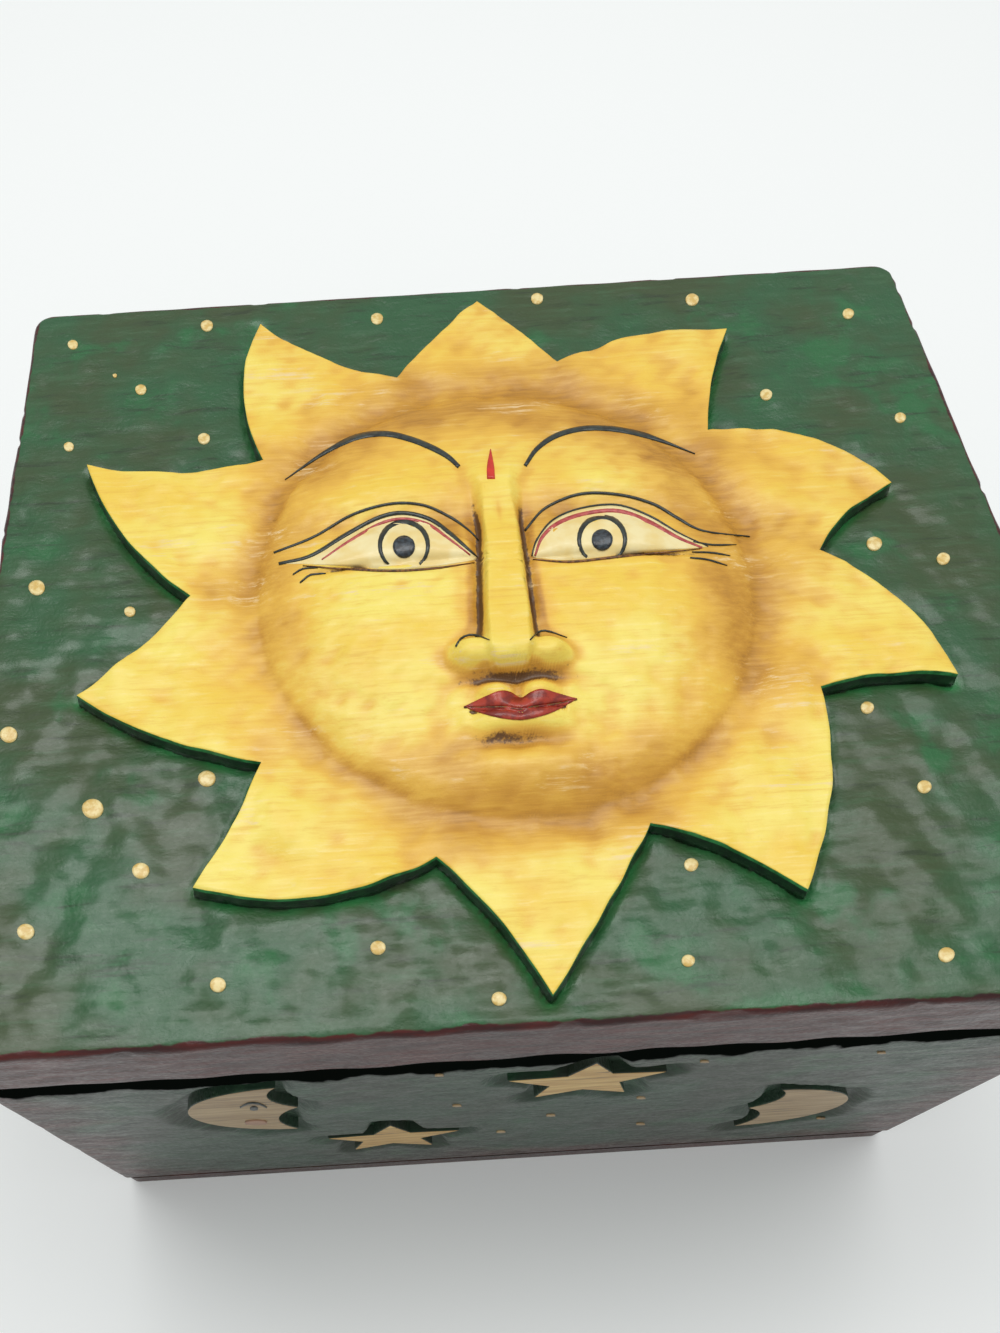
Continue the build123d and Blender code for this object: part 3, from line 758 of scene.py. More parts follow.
def painted_board(name, is_lid):
    """Green and dark red gloss paint brushed on carved softwood, varnished: glossy, lumpy, bare inside, with
    painted shade on the walls.
    """
    material, tree, shader, place = start_material(name)
    xyz = add(tree, "SeparateXYZ", {0: place}).node
    x = add(tree, "Math", {0: xyz.outputs[0]}, operation="ABSOLUTE")
    y = add(tree, "Math", {0: xyz.outputs[1]}, operation="ABSOLUTE")
    z = xyz.outputs[2]
    brushed = add(tree, "Mapping", {"Vector": place, "Scale": (0.12, 1, 1)})
    lying = add(tree, "Mapping", {"Vector": place, "Scale": (0.5, 1, 1)})
    pitted = add(tree, "Mapping", {"Vector": place, "Scale": (0.6, 1, 1)})
    cloud = add(tree, "TexNoise", {"Vector": place, **grains(22, 3)})
    patches = add(tree, "TexNoise", {"Vector": place, **grains(11)})
    streaks = add(tree, "TexNoise", {"Vector": brushed, **grains(1.6, 5, 0.65)})
    lumps = add(tree, "TexNoise", {"Vector": lying, **grains(2.4, 4, 0.6)})
    fine = add(tree, "TexNoise", {"Vector": pitted, **grains(0.55, 3, 0.6)})
    pimples = add(tree, "TexNoise", {"Vector": place, **grains(0.9, 2)})

    # Two greens in clouds, brighter patches, and pale and dark brush streaks
    # The walls' greens are darker than the lid's, and their bright patches fainter: painted shade
    dull, fresh = ("3A4C2A", "2A5A36") if is_lid else ("2A3528", "24402E")
    colour = paint_over(tree, srgb(dull), fresh, cloud, 0.36, 0.62)
    colour = paint_over(tree, colour, "256B3A", patches, 0.56, 0.7, 0.7 if is_lid else 0.2)
    colour = paint_over(tree, colour, "47704C", streaks, 0.5, 0.75, 0.4)
    colour = paint_over(tree, colour, "22301E", streaks, 0.46, 0.3, 0.6)
    if is_lid:
        halo = add(tree, "Attribute", out="Fac", attribute_name="halo")
        halo = add(tree, "Math", {0: halo, 1: 0.8}, operation="MULTIPLY")
        colour = add(tree, "Mix", {"Factor": halo, 6: colour, 7: srgb("2C8A48")}, **COLOURS)
        is_red = red_of_lid(tree, place, x, y)
    else:
        is_red = red_of_walls(tree, place, x, y, z)
    red = paint_over(tree, srgb("2C0504"), "541109", streaks, 0.35, 0.7)
    colour = add(tree, "Mix", {"Factor": is_red, 6: colour, 7: red}, **COLOURS)

    # Varnish gives the gloss. The dark band under the lid, partly near-black paint and partly painted shadow
    # of the gap, is matt, and so is the bare wood inside.
    gloss = {"Coat Weight": 0.36, "Specular IOR Level": 0.35}
    if not is_lid:
        band_black_and_shadow = black_band_and_gap_shadow(tree, place, xyz.outputs[1], z)
        # Near-black over the green in the band under the lid: partly paint, partly painted shadow of the gap
        colour = add(tree, "Mix", {"Factor": band_black_and_shadow, 6: colour, 7: srgb("0B0F0C")}, **COLOURS)
        clear = add(tree, "Math", {0: 1.0, 1: band_black_and_shadow}, operation="SUBTRACT")
        clear = add(tree, "Math", {0: clear, 1: 0.3}, operation="MULTIPLY")
        gloss = {"Coat Weight": clear, "Specular IOR Level": clear}
    inner = inside_box(tree, x, y, z)
    colour = add(tree, "Mix", {"Factor": inner, 6: colour, 7: bare_softwood(tree, place)}, **COLOURS)
    unevenly = add(tree, "Math", {0: lumps, 1: fine}, operation="ADD")
    rough = add(tree, "MapRange", {"Value": unevenly, 1: 0.7, 2: 1.3, 3: 0.34, 4: 0.6}, **SMOOTH)
    matt = add(tree, "Math", {0: inner, 1: 0.25}, operation="MULTIPLY")
    rough = add(tree, "Math", {0: rough, 1: matt}, operation="ADD")

    clustered = add(tree, "MapRange", {"Value": cloud, 1: 0.4, 2: 0.58, 3: 0.2, 4: 1.0}, **SMOOTH)
    pimples = add(tree, "Math", {0: pimples, 1: clustered}, operation="MULTIPLY")
    normal = add(tree, "Bump", {"Height": lumps, "Distance": 0.28 * MM})
    for height, depth in ((pimples, 0.2), (streaks, 0.06), (fine, 0.06)):
        normal = add(tree, "Bump", {"Height": height, "Distance": depth * MM, "Normal": normal})
    fill(tree, shader, {"Base Color": colour, "Roughness": rough, "Normal": normal})
    fill(tree, shader, {"Coat Roughness": 0.19, **gloss})
    return material


def brushed_paint(name, light, dark, grain_mm, roughness):
    """Thick poster paint laid with a small brush, varnished: nearly even, darker where it is thin."""
    material, tree, shader, place = start_material(name)
    mottle = add(tree, "TexNoise", {"Vector": place, **grains(grain_mm, 3)})
    fine = add(tree, "TexNoise", {"Vector": place, **grains(grain_mm * 0.3, 2)})
    colour = paint_over(tree, srgb(light), dark, mottle, 0.36, 0.64)
    normal = add(tree, "Bump", {"Height": fine, "Distance": 0.04 * MM})
    fill(tree, shader, {"Base Color": colour, "Normal": normal, "Roughness": roughness, "Coat Weight": 0.2})
    return material


def worn_gold_on_wall(name, light, mid, dark):
    """Ochre paint brushed thinly on the flat moons and stars, dragged so that the dark ground shows."""
    material, tree, shader, place = start_material(name)
    dragged = add(tree, "Mapping", {"Vector": place, "Scale": (0.08, 0.08, 1)})
    streaks = add(tree, "TexNoise", {"Vector": dragged, **grains(1.3, 5, 0.7)})
    colour = paint_over(tree, srgb(mid), light, streaks, 0.4, 0.65)
    colour = paint_over(tree, colour, dark, streaks, 0.42, 0.3)
    normal = add(tree, "Bump", {"Height": streaks, "Distance": 0.08 * MM})
    fill(tree, shader, {"Base Color": colour, "Normal": normal, "Roughness": 0.45, "Coat Weight": 0.2})
    return material


def aged_brass():
    """Rolled brass, dulled by handling: yellow, with small brown patches and fine drawn lines."""
    material, tree, shader, place = start_material("aged_brass")
    drawn = add(tree, "Mapping", {"Vector": place, "Scale": (0.05, 1, 1)})
    patches = add(tree, "TexNoise", {"Vector": place, **grains(4)})
    lines = add(tree, "TexNoise", {"Vector": drawn, **grains(0.3, 2)})
    colour = paint_over(tree, srgb("C9A253"), "8F6B2E", patches, 0.4, 0.7)
    normal = add(tree, "Bump", {"Height": lines, "Distance": 0.01 * MM})
    rough = add(tree, "MapRange", {"Value": patches, 1: 0.3, 2: 0.7, 3: 0.28, 4: 0.5}, **SMOOTH)
    fill(tree, shader, {"Base Color": colour, "Normal": normal, "Roughness": rough, "Metallic": 1.0})
    return material


def drawn_steel():
    """Drawn steel wire: grey, with spots of brown tarnish."""
    material, tree, shader, place = start_material("drawn_steel")
    spots = add(tree, "TexNoise", {"Vector": place, **grains(1.5)})
    colour = paint_over(tree, srgb("9A9690"), "6B4A35", spots, 0.55, 0.7)
    normal = add(tree, "Bump", {"Height": spots, "Distance": 0.02 * MM})
    fill(tree, shader, {"Base Color": colour, "Normal": normal, "Roughness": 0.4, "Metallic": 1.0})
    return material


gold = varnished_gold_paint()
lid_paint = painted_board("green_and_red_gloss_lid", True)
wall_paint = painted_board("green_and_red_gloss_walls", False)
edge_green = brushed_paint("bright_green_edge_paint", "44A45E", "24703A", 2.0, 0.3)
foot_green = brushed_paint("dark_green_edge_paint", "1A3B22", "10241A", 1.5, 0.3)
umber = brushed_paint("umber_wash", "4A2C14", "8A5A20", 0.6, 0.5)
worn_gold = worn_gold_on_wall("worn_gold_paint", "DDBB70", "BE9144", "4E3D22")
dull_gold = worn_gold_on_wall("dull_gold_paint", "B49A6C", "96784A", "4C4432")
black_line = brushed_paint("black_brush_line", "1C211E", "2E3A34", 1.0, 0.4)
red_lip = brushed_paint("red_lip_paint", "AE3822", "7C2015", 1.6, 0.4)
red_mark = brushed_paint("vermilion_mark_paint", "D8341F", "C22A1A", 1.5, 0.4)
rose_line = brushed_paint("rose_line_paint", "C65A55", "A83C3E", 1.0, 0.45)
faded_rose = brushed_paint("faded_rose_paint", "A87F63", "9A7358", 2.0, 0.5)
eye_cream = brushed_paint("cream_eye_paint", "F6E7AE", "EFD68C", 5.0, 0.5)
pupil_blue = brushed_paint("blue_black_paint", "12181C", "38444C", 0.7, 0.35)
dot_cream = brushed_paint("cream_dot_paint", "F2DFA0", "D9B766", 1.2, 0.4)
brass = aged_brass()
steel = drawn_steel()


# The lid

sun = Outline(sun_outline())


def hollowness(x, y, height, reach):
    """How far the surface's surroundings stand above it, in millimetres."""
    total = -4 * height
    for dx, dy in ((reach, 0), (-reach, 0), (0, reach), (0, -reach)):
        total = total + face_relief(x + dx, y + dy)
    return total / 4


def wash_and_painted_shade(x, y, height):
    """Where the brown wash lies on the gold, as painted shade in hollows and under features with painted
    highlight on swellings, and the darkest brown in the deepest cuts, partly dirt and partly painted shade.
    """
    edge = from_face_centre(x, y)
    wash = RIM_SHADE * groove(edge - 0.97, 0.19) * (1 - forms_at(x, y, RIM_CLEARINGS))
    # Painted shade in the listed spots, and painted shade growing towards the back right
    wash += forms_at(x, y, PAINTED_SHADE_SPOTS) + 0.22 * smooth_step(-10, 55, y + 0.55 * x)
    for _, valley, _, _ in RAYS:
        wash += VALLEY_SHADE * hump(x, y, np.array(valley) * 0.94, VALLEY_REACH)
    # Painted shade in the hollows and painted highlight on the swellings
    wide = hollowness(x, y, height, 2.5)
    wash += 0.9 * np.clip(wide, 0, 0.6) - 0.3 * np.clip(-wide, 0, 0.5)
    wash *= 1 + 0.25 * unevenness(x, y, 13.0, 71)
    # The darkest brown in the deepest cuts, partly dirt and partly painted shade, kept off the nose's tip
    deep = 2.4 * hollowness(x, y, height, 0.7) * (edge < 0.85) * (1 - forms_at(x, y, NOSE_TIP_UNDARKENED))
    deep += forms_at(x, y, CREASE_DIRT_AND_SHADE)
    return np.clip(wash, 0, 1), np.clip(deep, 0, 1)


def write_layer(bm, name, amounts):
    """Keeps an amount for each vertex, which a material reads as an attribute."""
    layer = bm.verts.layers.float.new(name)
    for vert, amount in zip(bm.verts, amounts):
        vert[layer] = amount


def build_sun():
    """The sun as rings round its centre that end on its outline, then go down its sides."""
    points = sun.points
    normals = outline_normals(points)
    count = len(points)
    ring_count = RING_STEPS + len(SUN_SIDE)
    bm = bmesh.new()
    bmesh.ops.create_grid(bm, x_segments=count, y_segments=ring_count, size=0.5)
    co = coordinates(bm)
    around = np.rint((co[:, 0] + 0.5) * count).astype(int) % count
    ring = np.rint((co[:, 1] + 0.5) * ring_count).astype(int)
    spread = np.minimum(ring / RING_STEPS, 1.0)[:, None]
    plan = SUN_CENTRE + (points[around] - SUN_CENTRE) * spread
    top = face_relief(plan[:, 0], plan[:, 1])
    out = np.array([0.0] * (RING_STEPS + 1) + [s[0] for s in SUN_SIDE])[ring]
    drop = np.array([0.0] * (RING_STEPS + 1) + [s[1] for s in SUN_SIDE])[ring]
    plan = plan + normals[around] * out[:, None]
    height = np.where(ring > RING_STEPS, top + drop * top / RAY_HEIGHT, top)
    wash, deep = wash_and_painted_shade(plan[:, 0], plan[:, 1], top)
    write_layer(bm, "wash", wash)
    write_layer(bm, "deep", deep)
    place_vertices(bm, np.stack((plan[:, 0], plan[:, 1], RIM_HEIGHT + height), 1))

    # Gold on top, then a bright green line, then dark green down to the ground
    bm.faces.ensure_lookup_table()
    for face in bm.faces:
        outermost = max(ring[v.index] for v in face.verts)
        face.material_index = int(outermost > RING_STEPS + 1) + int(outermost > RING_STEPS + 3)
    bmesh.ops.remove_doubles(bm, verts=bm.verts, dist=1e-4)
    bmesh.ops.holes_fill(bm, edges=[e for e in bm.edges if e.is_boundary], sides=0)
    bmesh.ops.recalc_face_normals(bm, faces=bm.faces)
    return bm


def build_lid_ground():
    """The lid's board with its carved ground, and how near each place is to the sun's foot."""
    thickness = RIM_HEIGHT - LID_BOTTOM
    bm = carved_board(LID_HALF_W, LID_HALF_D, thickness, LID_CORNER_R, LID_ARRIS_R, lid_relief, 41)
    co = coordinates(bm)
    away = sun.distance(co[:, 0], co[:, 1])
    halo = groove(np.clip(away, 0, None), HALO_WIDTH) * (co[:, 2] > -LID_ARRIS_R)
    halo *= 0.6 + 0.5 * unevenness(co[:, 0], co[:, 1], 12.0, 81)
    write_layer(bm, "halo", np.clip(halo, 0, 1))
    bmesh.ops.translate(bm, vec=(0, 0, RIM_HEIGHT), verts=bm.verts)
    return bm


def hinge_cutters():
    """The lid's recesses for its hinge leaves and knuckles, and its bevelled rear edge, in metres."""
    cutters = bmesh.new()
    _, pin_y, pin_z = frame["joints"][0]["pos_m"]
    for hand in ("left", "right"):
        low, high = (c.copy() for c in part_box(f"{hand}_hinge_lid_leaf"))
        grow = HINGE_FIT * MM
        recess_low = (low.x - grow, low.y - grow, low.z - LEAF_CUT_BELOW * MM)
        recess_high = (high.x + grow, pin_y, (LID_BOTTOM + LEAF_RECESS) * MM)
        block(cutters, recess_low, recess_high)
        radius = (high.z - low.z) / 2 + KNUCKLE_CLEAR * MM
        length = high.x - low.x + 2 * KNUCKLE_CLEAR * MM
        place = Matrix.Translation(((low.x + high.x) / 2, pin_y, pin_z))
        turn = place @ Matrix.Rotation(math.pi / 2, 4, "Y")
        bmesh.ops.create_cone(
            cutters, cap_ends=True, segments=32, radius1=radius, radius2=radius, depth=length, matrix=turn
        )

    # A wedge past the lid's rear edge that slopes up from just above the pins
    wedge = bmesh.ops.create_cube(cutters, size=1)["verts"]
    for vert in wedge:
        is_back = vert.co.y > 0
        slope_top = WEDGE_DEPTH * math.tan(math.radians(BEVEL_DEG)) if is_back else WEDGE_TIP
        y = pin_y + (WEDGE_DEPTH * MM if is_back else 0)
        z = slope_top if vert.co.z > 0 else -WEDGE_DROP
        vert.co = (vert.co.x * WEDGE_WIDTH * MM, y, pin_z + z * MM)
    bmesh.ops.recalc_face_normals(cutters, faces=cutters.faces)
    return cutters


surfaces = {}
sun_bm = build_sun()
surfaces["sun"] = BVHTree.FromBMesh(sun_bm)
ground_bm = build_lid_ground()
surfaces["ground"] = BVHTree.FromBMesh(ground_bm)
sun_paints = [gold, edge_green, foot_green]
finished(sun_bm, "carved_sun", "lid", sun_paints, replaces=["lid_board"])
lid_ground = finished(ground_bm, "lid_ground", "lid", [lid_paint], replaces=["lid_board"])
cut_away(lid_ground, hinge_cutters())


# The walls


def stand_up(bm, face_centre, across, outward):
    """Turns a board lying on its back so that its carved top is a wall's outer face."""
    turn = Matrix((Vector(across), Vector((0, 0, 1)), Vector(outward))).transposed().to_4x4()
    bmesh.ops.transform(bm, matrix=Matrix.Translation(face_centre) @ turn, verts=bm.verts)


def build_motif(outline):
    """A flat motif that stands in its scooped ground, its edge slightly rounded."""
    bm = bmesh.new()
    verts = [bm.verts.new((p[0], p[1], MOTIF_PROUD)) for p in outline.points]
    face = bm.faces.new(verts)
    out = bmesh.ops.extrude_face_region(bm, geom=[face])["geom"]
    low_verts = [g for g in out if isinstance(g, bmesh.types.BMVert)]
    bmesh.ops.translate(bm, vec=(0, 0, -SCOOP_DEPTH - MOTIF_ROOT), verts=low_verts)
    bmesh.ops.recalc_face_normals(bm, faces=bm.faces)
    for side in bm.faces:
        side.material_index = 0 if side.normal.z > 0.5 else 1
    top = [e for e in bm.edges if all(abs(v.co.z - MOTIF_PROUD) < 1e-6 for v in e.verts)]
    round_over = {"offset": MOTIF_ARRIS, "offset_type": "OFFSET", "segments": 2, "profile": 0.5}
    bmesh.ops.bevel(bm, geom=top, affect="EDGES", material=-1, **round_over)
    return bm


def build_wall(name, node, half, across, outward, face_centre, motifs, seed):
    """A carved wall and its painted motifs."""
    middle_z = (WALL_TOP + WALL_BOTTOM) / 2
    half_z = (WALL_TOP - WALL_BOTTOM) / 2
    outlines = [Outline(points - np.array((0, middle_z))) for _, points in motifs]
    relief = wall_relief(outlines, seed)
    bm = carved_board(half, half_z, WALL_THICKNESS, BOARD_END_R, WALL_ARRIS_R, relief, seed)
    centre = (*face_centre, middle_z)
    stand_up(bm, centre, across, outward)
    surfaces[name] = BVHTree.FromBMesh(bm)
    finished(bm, name, "box", [wall_paint], replaces=[node])
    for (motif, _), outline in zip(motifs, outlines):
        bm = build_motif(outline)
        stand_up(bm, centre, across, outward)
        surfaces[f"{name}_{motif}"] = BVHTree.FromBMesh(bm)
        paint = dull_gold if "moon" in motif else worn_gold
        finished(bm, f"{name}_{motif}", "box", [paint, wall_paint], smooth=False)


front_motifs = [
    ("left_moon", moon_outline(MOON_LEFT, 1)),
    ("right_moon", moon_outline(MOON_RIGHT, -1)),
    ("low_star", star_outline(STAR_LOW)),
    ("high_star", star_outline(STAR_HIGH)),
]
front_place = (0, -BODY_HALF_D)
build_wall("carved_front", "front_wall", BODY_HALF_W, (1, 0, 0), (0, -1, 0), front_place, front_motifs, 51)
for hand, side in (("left", -1), ("right", 1)):
    motifs = [("moon", moon_outline(SIDE_MOON, 1)), ("star", star_outline(SIDE_STAR))]
    name, node, place = f"carved_{hand}_side", f"{hand}_wall", (side * BODY_HALF_W, 0)
    build_wall(name, node, SIDE_HALF_D, (0, side, 0), (side, 0, 0), place, motifs, 60 + side)


# Painted features, each laid where the photograph shows it, on the carved surface under that pixel

ON_LID = ("sun", "ground")
ON_GROUND = ("ground",)
ON_FRONT = ("carved_front",)
ON_LEFT_MOON = ("carved_front_left_moon",)
EYE_COAT, ROSE_COAT, TOP_COAT = 0.09, 0.2, 0.26  # how high each coat of paint stands
PAINT_BELOW = 0.35
STROKE_STEP_PX = 5
DISC_CELLS = 8


def on_surface(u, v, names):
    """The carved surface's point and normal under a pixel of the photograph."""
    hits = [surfaces[name].ray_cast(CAMERA_PLACE, sight(u, v)) for name in names]
    point, normal, _, _ = min((hit for hit in hits if hit[0] is not None), key=lambda hit: hit[3])
    return point, normal


def curve_through(pixels, steps):
    """A smooth curve through pixels, as steps + 1 points."""
    p = np.array(pixels, float)
    p = np.concatenate(([2 * p[0] - p[1]], p, [2 * p[-1] - p[-2]]))
    spans = len(p) - 3
    out = []
    for k in range(steps + 1):
        s = min(k / steps * spans, spans - 1e-9)
        i, t = int(s), s - int(s)
        a, b, c, d = p[i : i + 4]
        cubic = (3 * b - a - 3 * c + d) * t**3
        out.append(0.5 * (2 * b + (c - a) * t + (2 * a - 5 * b + 4 * c - d) * t**2 + cubic))
    return np.array(out)


def laid_patch(bm, columns, rows, pixel_of, coat, names):
    """A thin closed patch of paint. pixel_of gives the pixel for each place across and along the patch."""
    made = bmesh.ops.create_grid(bm, x_segments=columns, y_segments=rows, size=0.5)["verts"]
    faces = list(dict.fromkeys(f for vert in made for f in vert.link_faces))
    normals = {}
    for vert in made:
        across, along = vert.co.x + 0.5, vert.co.y + 0.5
        hit, normal = on_surface(*pixel_of(across, along), names)
        normals[vert] = normal
        vert.co = hit + normal * coat * (0.55 + 0.45 * (4 * along * (1 - along)) ** 0.5)
    below = bmesh.ops.duplicate(bm, geom=faces + list(made))
    for vert in made:
        below["vert_map"][vert].co = vert.co - normals[vert] * PAINT_BELOW
    low_faces = [g for g in below["geom"] if isinstance(g, bmesh.types.BMFace)]
    rims = dict.fromkeys(e for f in faces + low_faces for e in f.edges if e.is_boundary)
    bmesh.ops.bridge_loops(bm, edges=list(rims))


def laid_stroke(bm, pixels, width_px, ends, coat=TOP_COAT, names=ON_LID):
    """A brush stroke through pixels, width_px wide at its middle and a share of that at its two ends."""
    length = sum(math.dist(a, b) for a, b in zip(pixels, pixels[1:]))
    steps = max(6, int(length / STROKE_STEP_PX))
    line = curve_through(pixels, steps)
    along_line = np.gradient(line, axis=0)
    side = np.stack((-along_line[:, 1], along_line[:, 0]), 1) / np.hypot(*along_line.T)[:, None]

    def pixel_of(across, along):
        k = int(round(across * steps))
        end, from_end = (ends[0], across) if across < 0.5 else (ends[1], 1 - across)
        swell = end + (1 - end) * min(1, from_end * 4)
        return line[k] + side[k] * (along - 0.5) * width_px * swell

    laid_patch(bm, steps, 3, pixel_of, coat, names)


def laid_disc(bm, centre, radius_px, squash=1.0, names=ON_LID):
    """A round spot of paint, squashed in the picture where its surface slopes away."""

    def pixel_of(across, along):
        u, v = 2 * across - 1, 2 * along - 1
        longest, length = max(abs(u), abs(v)), math.hypot(u, v)
        pull = longest / length if length else 0
        return centre[0] + u * pull * radius_px, centre[1] + v * pull * radius_px * squash

    laid_patch(bm, DISC_CELLS, DISC_CELLS, pixel_of, TOP_COAT, names)


def laid_between(bm, upper, lower, columns, rows, coat=TOP_COAT):
    """A patch between two lines of pixels that run the same way."""
    top, low = curve_through(upper, columns), curve_through(lower, columns)

    def pixel_of(across, along):
        k = int(round(across * columns))
        return low[k] + (top[k] - low[k]) * along

    laid_patch(bm, columns, rows, pixel_of, coat, ON_LID)


def painted(name, material, body="lid"):
    """Starts a piece of paint and returns what finishes it."""
    bm = bmesh.new()

    def done():
        bmesh.ops.recalc_face_normals(bm, faces=bm.faces)
        finished(bm, name, body, [material])

    return bm, done


# Pixels of the photograph: lines along brush strokes, with their widths, and spots with their radii
LEFT_UPPER_LID = [
    (279, 564), (311, 556), (346, 535), (378, 518), (403, 513), (429, 519), (448, 532), (470, 551),
    (477, 557),
]
LEFT_LOWER_LID = [(300, 564), (345, 566), (385, 569), (430, 567), (476, 560)]
RIGHT_UPPER_LID = [
    (532, 556), (537, 540), (553, 520), (582, 508), (617, 505), (649, 516), (680, 534), (708, 547),
]
RIGHT_LOWER_LID = [(535, 558), (570, 560), (610, 556), (655, 551), (700, 548)]
LEFT_BROW = [
    (459, 467), (448, 457), (432, 448), (409, 439), (384, 434), (355, 438), (323, 454), (285, 480),
]
RIGHT_BROW = [
    (525, 466), (537, 449), (556, 436), (582, 429), (610, 429), (639, 434), (664, 442), (695, 454),
]
LEFT_LID_FOLD = [
    (274, 553), (314, 537), (352, 515), (390, 504), (422, 505), (448, 516), (467, 529), (479, 541),
]
RIGHT_LID_FOLD = [
    (525, 531), (543, 510), (569, 497), (594, 493), (626, 496), (655, 505), (677, 518), (703, 531),
    (750, 537),
]
BLACK_STROKES = [
    (LEFT_BROW, 5.5),
    (RIGHT_BROW, 5.0),
    (LEFT_LID_FOLD, 2.6),
    (RIGHT_LID_FOLD, 2.8),
    (LEFT_UPPER_LID, 4.0),
    (RIGHT_UPPER_LID, 1.8),
    ([(293, 575), (303, 569), (318, 568)], 1.6),
    ([(300, 583), (311, 575), (326, 574)], 1.8),
    ([(693, 542), (712, 545), (736, 545)], 1.6),
    ([(692, 552), (712, 553), (730, 556)], 1.6),
    ([(690, 558), (708, 560), (727, 566)], 1.6),
    ([(456, 647), (462, 638), (473, 635), (490, 640)], 1.8),
    ([(530, 640), (537, 633), (547, 631), (567, 638)], 1.8),
]
UMBER_STROKES = [
    ([(303, 566), (345, 569), (390, 571), (430, 569), (474, 563)], 2.2),
    ([(533, 560), (570, 562), (610, 558), (655, 553), (700, 549)], 2.2),
    ([(464, 708), (485, 707), (505, 707), (521, 709), (540, 706), (560, 703), (577, 700)], 1.8),
]
IRISES = [((404, 546), 24), ((602, 540), 23)]
IRIS_WIDTH = 4.8
PUPILS = [((404, 547), 11), ((602, 540), 10.5)]
ROSE_STROKES = [
    ([(322, 560), (350, 541), (380, 524), (403, 519), (427, 524), (446, 537), (470, 555)], 3.0),
    ([(535, 556), (542, 538), (557, 524), (584, 514), (617, 511), (647, 521), (678, 538), (702, 548)], 4.0),
]
BROW_MARK = ([(487, 479), (487, 466), (490, 450)], [(495, 479), (494, 466), (491, 450)])
LIP_TOP = [
    (464, 707), (480, 699), (499, 691), (510, 692), (521, 698), (531, 692), (542, 689), (560, 694),
    (577, 699),
]
LIP_LINE = [(464, 707), (485, 707), (505, 706), (521, 708), (540, 705), (560, 702), (577, 699)]
LIP_LOW = [(464, 707), (480, 713), (500, 718), (521, 720), (542, 716), (560, 709), (577, 699)]
LID_DOT_SQUASH = 0.93
LID_DOTS = [
    ((73, 345), 5), ((207, 326), 6), ((377, 319), 6), ((537, 299), 6), ((692, 300), 6.5),
    ((848, 314), 5.5), ((141, 390), 5.5), ((204, 439), 6), ((69, 447), 5), ((766, 395), 6),
    ((900, 418), 5.5), ((874, 544), 7.5), ((943, 559), 6.5), ((37, 588), 8), ((130, 612), 5.5),
    ((9, 735), 8.5), ((93, 809), 10.5), ((207, 779), 8.5), ((141, 871), 8.5), ((26, 932), 8.5),
    ((218, 985), 8), ((378, 948), 7.5), ((499, 999), 7.5), ((691, 865), 7), ((688, 961), 6.5),
    ((867, 708), 6.5), ((924, 787), 7), ((946, 955), 8), ((115, 376), 2),
]
MOON_EYE_LINE = [(240, 1107), (248, 1103), (258, 1103), (267, 1107)]
MOON_EYE = (254, 1108)
MOON_CHEEK_SPOT = (256, 1122)

bm, done = painted("cream_eyes", eye_cream)
laid_between(bm, LEFT_UPPER_LID, LEFT_LOWER_LID, 44, 12, EYE_COAT)
laid_between(bm, RIGHT_UPPER_LID, RIGHT_LOWER_LID, 44, 12, EYE_COAT)
done()
bm, done = painted("rose_lid_lines", rose_line)
for pixels, width in ROSE_STROKES:
    laid_stroke(bm, pixels, width, (0.5, 0.5), ROSE_COAT)
done()
bm, done = painted("black_brush_lines", black_line)
for pixels, width in BLACK_STROKES:
    laid_stroke(bm, pixels, width, (0.7, 0.15))
for (u, v), radius in IRISES:
    turns = np.radians(range(-140, 141, 10))
    open_ring = [(u + radius * math.sin(a), v - radius * math.cos(a)) for a in turns]
    laid_stroke(bm, open_ring, IRIS_WIDTH, (0.6, 0.6))
done()
bm, done = painted("dark_pupils", pupil_blue)
for centre, radius in PUPILS:
    laid_disc(bm, centre, radius)
done()
bm, done = painted("umber_creases", umber)
for pixels, width in UMBER_STROKES:
    laid_stroke(bm, pixels, width, (0.3, 0.3))
done()
bm, done = painted("red_brow_mark", red_mark)
laid_between(bm, *BROW_MARK, 10, 5)
done()
bm, done = painted("red_lips", red_lip)
laid_between(bm, LIP_TOP, LIP_LINE, 36, 8)
laid_between(bm, LIP_LINE, LIP_LOW, 36, 8)
done()
bm, done = painted("cream_dots", dot_cream)
for centre, radius in LID_DOTS:
    laid_disc(bm, centre, radius, LID_DOT_SQUASH, ON_GROUND)
done()

# Dots between the front's moons and stars: place along the wall, then height, in millimetres
FRONT_DOTS = [
    (-16.3, 97.6), (-12.9, 70.7), (26.9, 95.5), (21.1, 67.1), (5.6, 54.8), (25.6, 38.2), (-3.2, 39.2),
    (64.9, 31.2), (56.3, 93.8),
]
FRONT_DOT_PX = 4.5
FRONT_DOT_SQUASH = 0.24
bm, done = painted("front_dots", dull_gold, "box")
for along, height in FRONT_DOTS:
    laid_disc(bm, pixel_of_place((along, -BODY_HALF_D, height)), FRONT_DOT_PX, FRONT_DOT_SQUASH, ON_FRONT)
done()
bm, done = painted("left_moon_eye", black_line, "box")
laid_stroke(bm, MOON_EYE_LINE, 1.4, (0.4, 0.4), TOP_COAT, ON_LEFT_MOON)
laid_disc(bm, MOON_EYE, 4, 0.5, ON_LEFT_MOON)
done()
bm, done = painted("left_moon_cheek", faded_rose, "box")
laid_disc(bm, MOON_CHEEK_SPOT, 11, 0.22, ON_LEFT_MOON)
done()

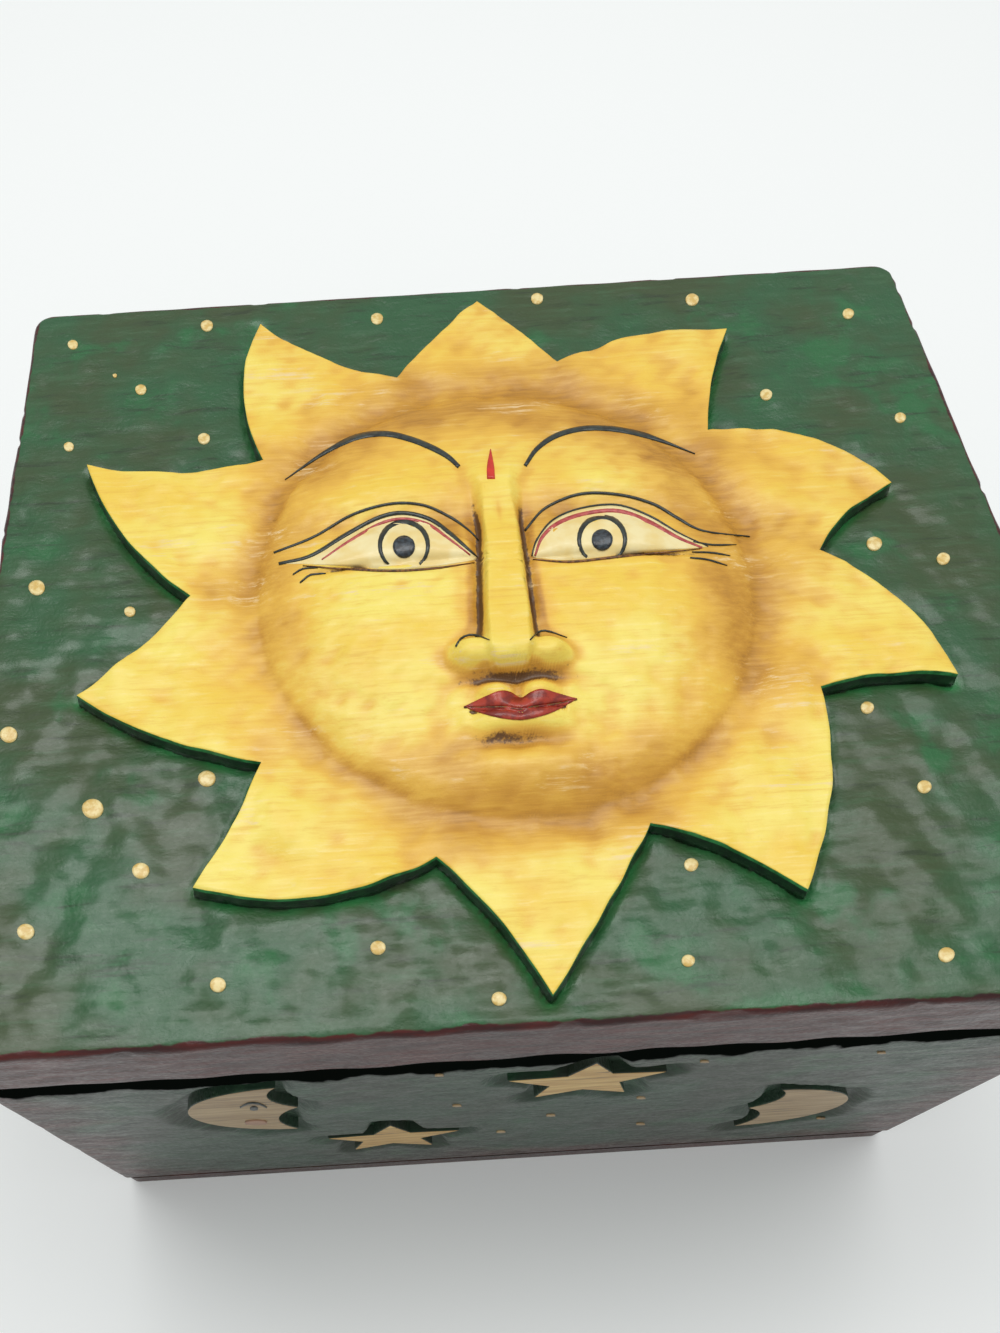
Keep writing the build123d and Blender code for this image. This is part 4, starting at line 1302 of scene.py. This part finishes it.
# Better finishes on the CAD's own pieces
for node, piece in frame["nodes"].items():
    if "pin" in node or "nails" in node:
        finish = steel
    elif "hinge" in node or "screws" in node:
        finish = brass
    else:
        finish = wall_paint
    for slot in piece.material_slots:
        slot.material = finish


# Floor, light and view, in metres

FLOOR_HALF_M = 3
FLOOR_GLOW = 0.12
SURROUND_STRENGTH = 0.5
LAMP_AIM = (0, 0, 0.1)


def build_floor():
    """A wide white table top, a little brighter to the camera than its light makes it."""
    bm = bmesh.new()
    bmesh.ops.create_grid(bm, x_segments=1, y_segments=1, size=FLOOR_HALF_M)
    mesh = bpy.data.meshes.new("floor")
    bm.to_mesh(mesh)
    bm.free()
    material, tree, shader, _ = start_material("white_table")
    seen = add(tree, "LightPath", out="Is Camera Ray")
    glow = add(tree, "Math", {0: seen, 1: FLOOR_GLOW}, operation="MULTIPLY")
    fill(tree, shader, {"Base Color": srgb("F0F3F2"), "Roughness": 0.7})
    fill(tree, shader, {"Emission Color": srgb("F4F8F7"), "Emission Strength": glow})
    mesh.materials.append(material)
    floor = bpy.data.objects.new("floor", mesh)
    bpy.context.scene.collection.objects.link(floor)


def area_lamp(name, place, aim, size, power):
    """A soft rectangular lamp, places in metres."""
    data = bpy.data.lights.new(name, "AREA")
    data.shape = "RECTANGLE"
    data.size, data.size_y = size
    data.energy = power
    lamp = bpy.data.objects.new(name, data)
    bpy.context.scene.collection.objects.link(lamp)
    lamp.location = place
    lamp.rotation_euler = (Vector(aim) - Vector(place)).to_track_quat("-Z", "Y").to_euler()


def build_world():
    """A pale surround that lights the object evenly."""
    world = bpy.data.worlds.new("surround")
    bpy.context.scene.world = world
    world.use_nodes = True
    background = world.node_tree.nodes["Background"]
    fill(world.node_tree, background, {"Color": (1, 1, 1, 1), "Strength": SURROUND_STRENGTH})


build_floor()
build_world()
area_lamp("left_overhead", (-0.28, 0.28, 1.3), LAMP_AIM, (0.55, 0.5), 4.9)
area_lamp("right_overhead", (0.36, 0.22, 1.3), LAMP_AIM, (0.6, 0.5), 3.9)
make_camera()
bpy.context.scene.view_settings.view_transform = "Standard"
